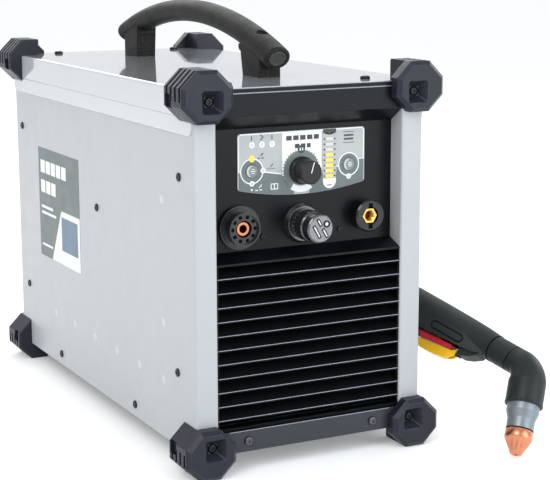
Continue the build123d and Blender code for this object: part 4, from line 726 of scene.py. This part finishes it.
DIMPLE = [(0, 0.4), (2.0, 0.36), (3.6, 0.22), (4.8, 0.07), (5.4, 0.0), (5.4, -0.1), (0, -0.1)]
DIMPLES_AT = [(y, 79.5) for y in (-183.5, -120.5, -57.5, 7.5, 72.5, 135.5)]
DIMPLES_AT += [(-185.5, 263.0), (-185.5, 139.0)]
# The dimples carry the lighter paint above: a painted highlight.
for label, side in (("left", -1), ("right", 1)):
    dimples = bmesh.new()
    for y, z in DIMPLES_AT:
        lathe(dimples, (side * SIDE, y, z), (side, 0, 0), DIMPLE)
    from_bmesh(f"{label}_weld_dimples", dimples, [dimple_painted_highlight], "case", 60)

SCREW_HEAD = [(0.0, -0.6), (0.7, -0.6), (0.8, 1.5), (2.4, 1.2), (3.3, 0.5), (3.6, -0.4), (0, -0.9)]
POCKET_DEPTH, POCKET_INSET, POCKET_DROP = 4.4, 19.5, 4
pocket_screws = bmesh.new()
for side in (-1, 1):
    for end in (-1, 1):
        for middle, up in ((BUMPER_TOP_Z, 1), (BUMPER_BOTTOM_Z, -1)):
            floor_x = side * (BUMPER_X + BUMPER_WIDTH / 2 - POCKET_DEPTH)
            lathe(pocket_screws, (floor_x, end * (-FRONT - POCKET_INSET), middle - up * POCKET_DROP),
                  (side, 0, 0), SCREW_HEAD, 24)
from_bmesh("bumper_pocket_screws", pocket_screws, [dark_steel], "case")

# ------------------------------------------------------------ handle

GRIP_END, GRIP_FACING = Vector((0, -190.5, 394.5)), Vector((0, -0.9284, -0.3716))
dish = bmesh.new()
DISH = [(0, 0.03), (3.0, 0.06), (5.5, 0.16), (7.6, 0.34), (8.2, 0.5), (8.8, 0.42), (9.2, 0.0), (9.2, -0.4),
        (0, -0.4)]
DISH_SQUASH = 0.84
lathe(dish, GRIP_END, GRIP_FACING, DISH, 64)
squash = Matrix.Scale(DISH_SQUASH, 4, GRIP_FACING.cross(Vector((1, 0, 0))))
bmesh.ops.transform(dish, matrix=squash, space=Matrix.Translation(-GRIP_END * MM), verts=dish.verts)
from_bmesh("handle_end_dish", dish, [dish_plastic], "case", 60)

# Two small moulded bars lie across the handle.
LIP_HALF = 11.4
lips = bmesh.new()
lip(lips, [(-131.5, 399.0), (-127.0, 399.6), (-124.6, 402.0), (-124.4, 406.5), (-131.0, 406.0)], LIP_HALF)
lip(lips, [(146.5, 405.0), (146.6, 401.2), (148.6, 399.0), (152.0, 398.4), (152.0, 404.0)], LIP_HALF)
bmesh.ops.bevel(lips, geom=list(lips.edges), offset=0.5 * MM, segments=2, affect="EDGES", profile=0.5)
from_bmesh("handle_lips", lips, [handle_plastic], "case")

# ------------------------------------------------------------ front edges and their painted highlights

LOUVRE_TOP, LOUVRE_PITCH, LOUVRE_COUNT, LOUVRE_FRONT = 193.9, 14.0, 11, FRONT + 2.0
LOUVRE_LIP = ((0.5, 0.1), (-0.15, 0.25), (-0.45, -0.05), (-0.4, -0.5), (0.1, -0.7))
LOUVRE_HALF, STRIP_HALF, RAIL_HALF = 101.0, 88.0, 90.0
# Light bars on the louvres' front edges, the top strip's edge and the rail's top edge are painted highlights
# on the black parts.
edges = bmesh.new()
for index in range(LOUVRE_COUNT):
    z = LOUVRE_TOP - LOUVRE_PITCH * index
    lip(edges, [(LOUVRE_FRONT + out, z + up) for out, up in LOUVRE_LIP], LOUVRE_HALF)
from_bmesh("louvre_painted_highlights", edges, [edge_painted_highlight], "case", 60)
strip = bmesh.new()
lip(strip, [(FRONT + 0.3, 370.6), (FRONT - 0.3, 370.4), (FRONT - 0.55, 369.9), (FRONT - 0.3, 369.3),
            (FRONT + 0.3, 369.2)], STRIP_HALF)
lip(strip, [(FRONT + 0.3, 41.6), (FRONT - 0.25, 41.5), (FRONT - 0.45, 41.1), (FRONT - 0.25, 40.7),
            (FRONT + 0.3, 40.5)], RAIL_HALF)
from_bmesh("front_edge_highlights", strip, [edge_painted_highlight], "case", 60)

# ------------------------------------------------------------ torch


def on_torch(along, up, across):
    return ELBOW + ALONG * along + UP * up + ACROSS * across


# The drawing plane on the handle's near side: drawing x runs from the handle's rear to its front.
SIDE_FROM, SIDE_OUT, SIDE_LEAN = 81.0, -14.9, 0.0051
right = (-ALONG + ACROSS * SIDE_LEAN).normalized()
out = right.cross(UP).normalized()
origin = on_torch(SIDE_FROM, 0, SIDE_OUT) * MM
near_side = Matrix((
    (right.x, UP.x, out.x, origin.x), (right.y, UP.y, out.y, origin.y),
    (right.z, UP.z, out.z, origin.z), (0, 0, 0, 1)))
badge_at = (SIDE_FROM - 99.5, -11.0)
# The badge's dark rim is painted shade in the groove round it.
printed("torch_badge_rim", [rounded(*badge_at, 44, 9.4, 4.6), rounded(*badge_at, 41.4, 6.8, 3.3)], near_side,
        -0.15, 0.4, groove_painted_shade, "torch")
printed("torch_badge_plate", [rounded(*badge_at, 39.0, 4.8, 2.3)], near_side, -0.15, 0.5, torch_plastic,
        "torch")
ROUND = 96


def head_ring(bm, profile):
    lathe(bm, ELBOW, HEAD, profile, ROUND)


# Dark rings in the seam between neck and handle and in the swivel groove are painted shade.
seams = bmesh.new()
HANDLE_START, SEAM_AT, SEAM_LEAN = 47.3, 20.5, math.radians(17)
lathe(seams, on_torch(HANDLE_START - 1.3, 0.1, 0), ALONG,
      [(13.6, 0), (14.5, 0), (14.7, 0.4), (14.7, 1.5), (13.6, 1.5), (13.6, 0)], ROUND)
groove_axis = ALONG * math.cos(SEAM_LEAN) + UP * math.sin(SEAM_LEAN)
lathe(seams, on_torch(SEAM_AT, 0, 0), groove_axis,
      [(12.9, 0.12), (14.0, 0.12), (14.0, 1.68), (12.9, 1.68), (12.9, 0.12)], ROUND)
from_bmesh("torch_seams", seams, [groove_painted_shade], "torch")

# A dark ring in the joint between head and cup: painted shade.
joint = bmesh.new()
head_ring(joint, [(13.2, CUP_END - 0.5), (14.15, CUP_END - 0.5), (14.15, CUP_END + 0.5),
                  (13.2, CUP_END + 0.5), (13.2, CUP_END - 0.5)])
from_bmesh("torch_joint_ring", joint, [groove_painted_shade], "torch")
rim = bmesh.new()
head_ring(rim, [(17.0, SLEEVE_END - 2.6), (19.2, SLEEVE_END - 2.6), (19.55, SLEEVE_END - 2.0),
                (19.6, SLEEVE_END - 0.9), (19.1, SLEEVE_END), (17.3, SLEEVE_END), (16.9, SLEEVE_END - 1.0),
                (17.0, SLEEVE_END - 2.6)])
from_bmesh("torch_sleeve_rim", rim, [torch_plastic], "torch")

# The nozzle again, with flutes down its cone and a ring of small ports near its tip.
FLUTES, FLUTE_DEPTH, AROUND, CONE_STEPS, CONE_NARROW, CONE_WIDE = 12, 1.15, 288, 12, 7.3, 14.3
fluted = bmesh.new()
outline = [(2.0, TIP_END - 14, 0), (2.0, TIP_END - 0.5, 0), (2.5, TIP_END, 0), (5.2, TIP_END, 0),
           (5.8, TIP_END - 0.4, 0), (7.0, TIP_END - 3.0, 0), (7.4, TIP_END - 3.6, 0.25)]
cone_from, cone_to = TIP_END - 3.6, CUP_END + 9.0
for i in range(1, CONE_STEPS + 1):
    share = i / CONE_STEPS
    along = cone_from + (cone_to - cone_from) * share
    # The flutes deepen from the tip and fade out before the shoulder.
    depth = FLUTE_DEPTH * min(1.0, share * 2.5) * max(0.0, min(1.0, (0.9 - share) * 4))
    outline.append((CONE_NARROW + (CONE_WIDE - CONE_NARROW) * share, along, depth))
outline += [(CONE_WIDE, CUP_END + 6.5, 0), (13.9, CUP_END + 0.5, 0), (13.5, CUP_END, 0), (11.0, CUP_END, 0),
            (11.0, CUP_END - 8, 0), (9.0, CUP_END - 8, 0), (9.0, TIP_END - 15, 0)]
side_dir = HEAD.orthogonal().normalized()
other_dir = HEAD.cross(side_dir)
loops = []
for radius, along, depth in outline:
    loop = []
    for i in range(AROUND):
        t = 2 * math.pi * i / AROUND
        cut = depth * abs(math.cos(t * FLUTES / 2)) ** 3
        outward = side_dir * math.cos(t) + other_dir * math.sin(t)
        loop.append(fluted.verts.new((ELBOW + HEAD * along + outward * (radius - cut)) * MM))
    loops.append(loop)
skin(fluted, loops + loops[:1])
nozzle = from_bmesh("torch_nozzle_fluted", fluted, [nozzle_copper], "torch", 38)
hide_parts("torch_nozzle")
# The ports are near black: painted shade in the holes.
ports = bmesh.new()
for i in range(FLUTES):
    t = 2 * math.pi * (i + 0.5) / FLUTES
    out = side_dir * math.cos(t) + other_dir * math.sin(t)
    lathe(ports, ELBOW + HEAD * (TIP_END - 2.2) + out * 6.2, out + HEAD * 0.4,
          [(0, 0.34), (0.62, 0.34), (0.62, -0.5), (0, -0.5)], 14)
from_bmesh("nozzle_ports", ports, [groove_painted_shade], "torch")

# ------------------------------------------------------------ floor

floor = bmesh.new()
FLOOR_HALF, FLOOR_CELLS = 30.0, 24
bmesh.ops.create_grid(floor, x_segments=FLOOR_CELLS, y_segments=FLOOR_CELLS, size=FLOOR_HALF)
floor_mesh = bpy.data.meshes.new("floor")
floor.to_mesh(floor_mesh)
floor.free()
floor_mesh.materials.append(floor_white)
floor_object = bpy.data.objects.new("floor", floor_mesh)
scene.collection.objects.link(floor_object)
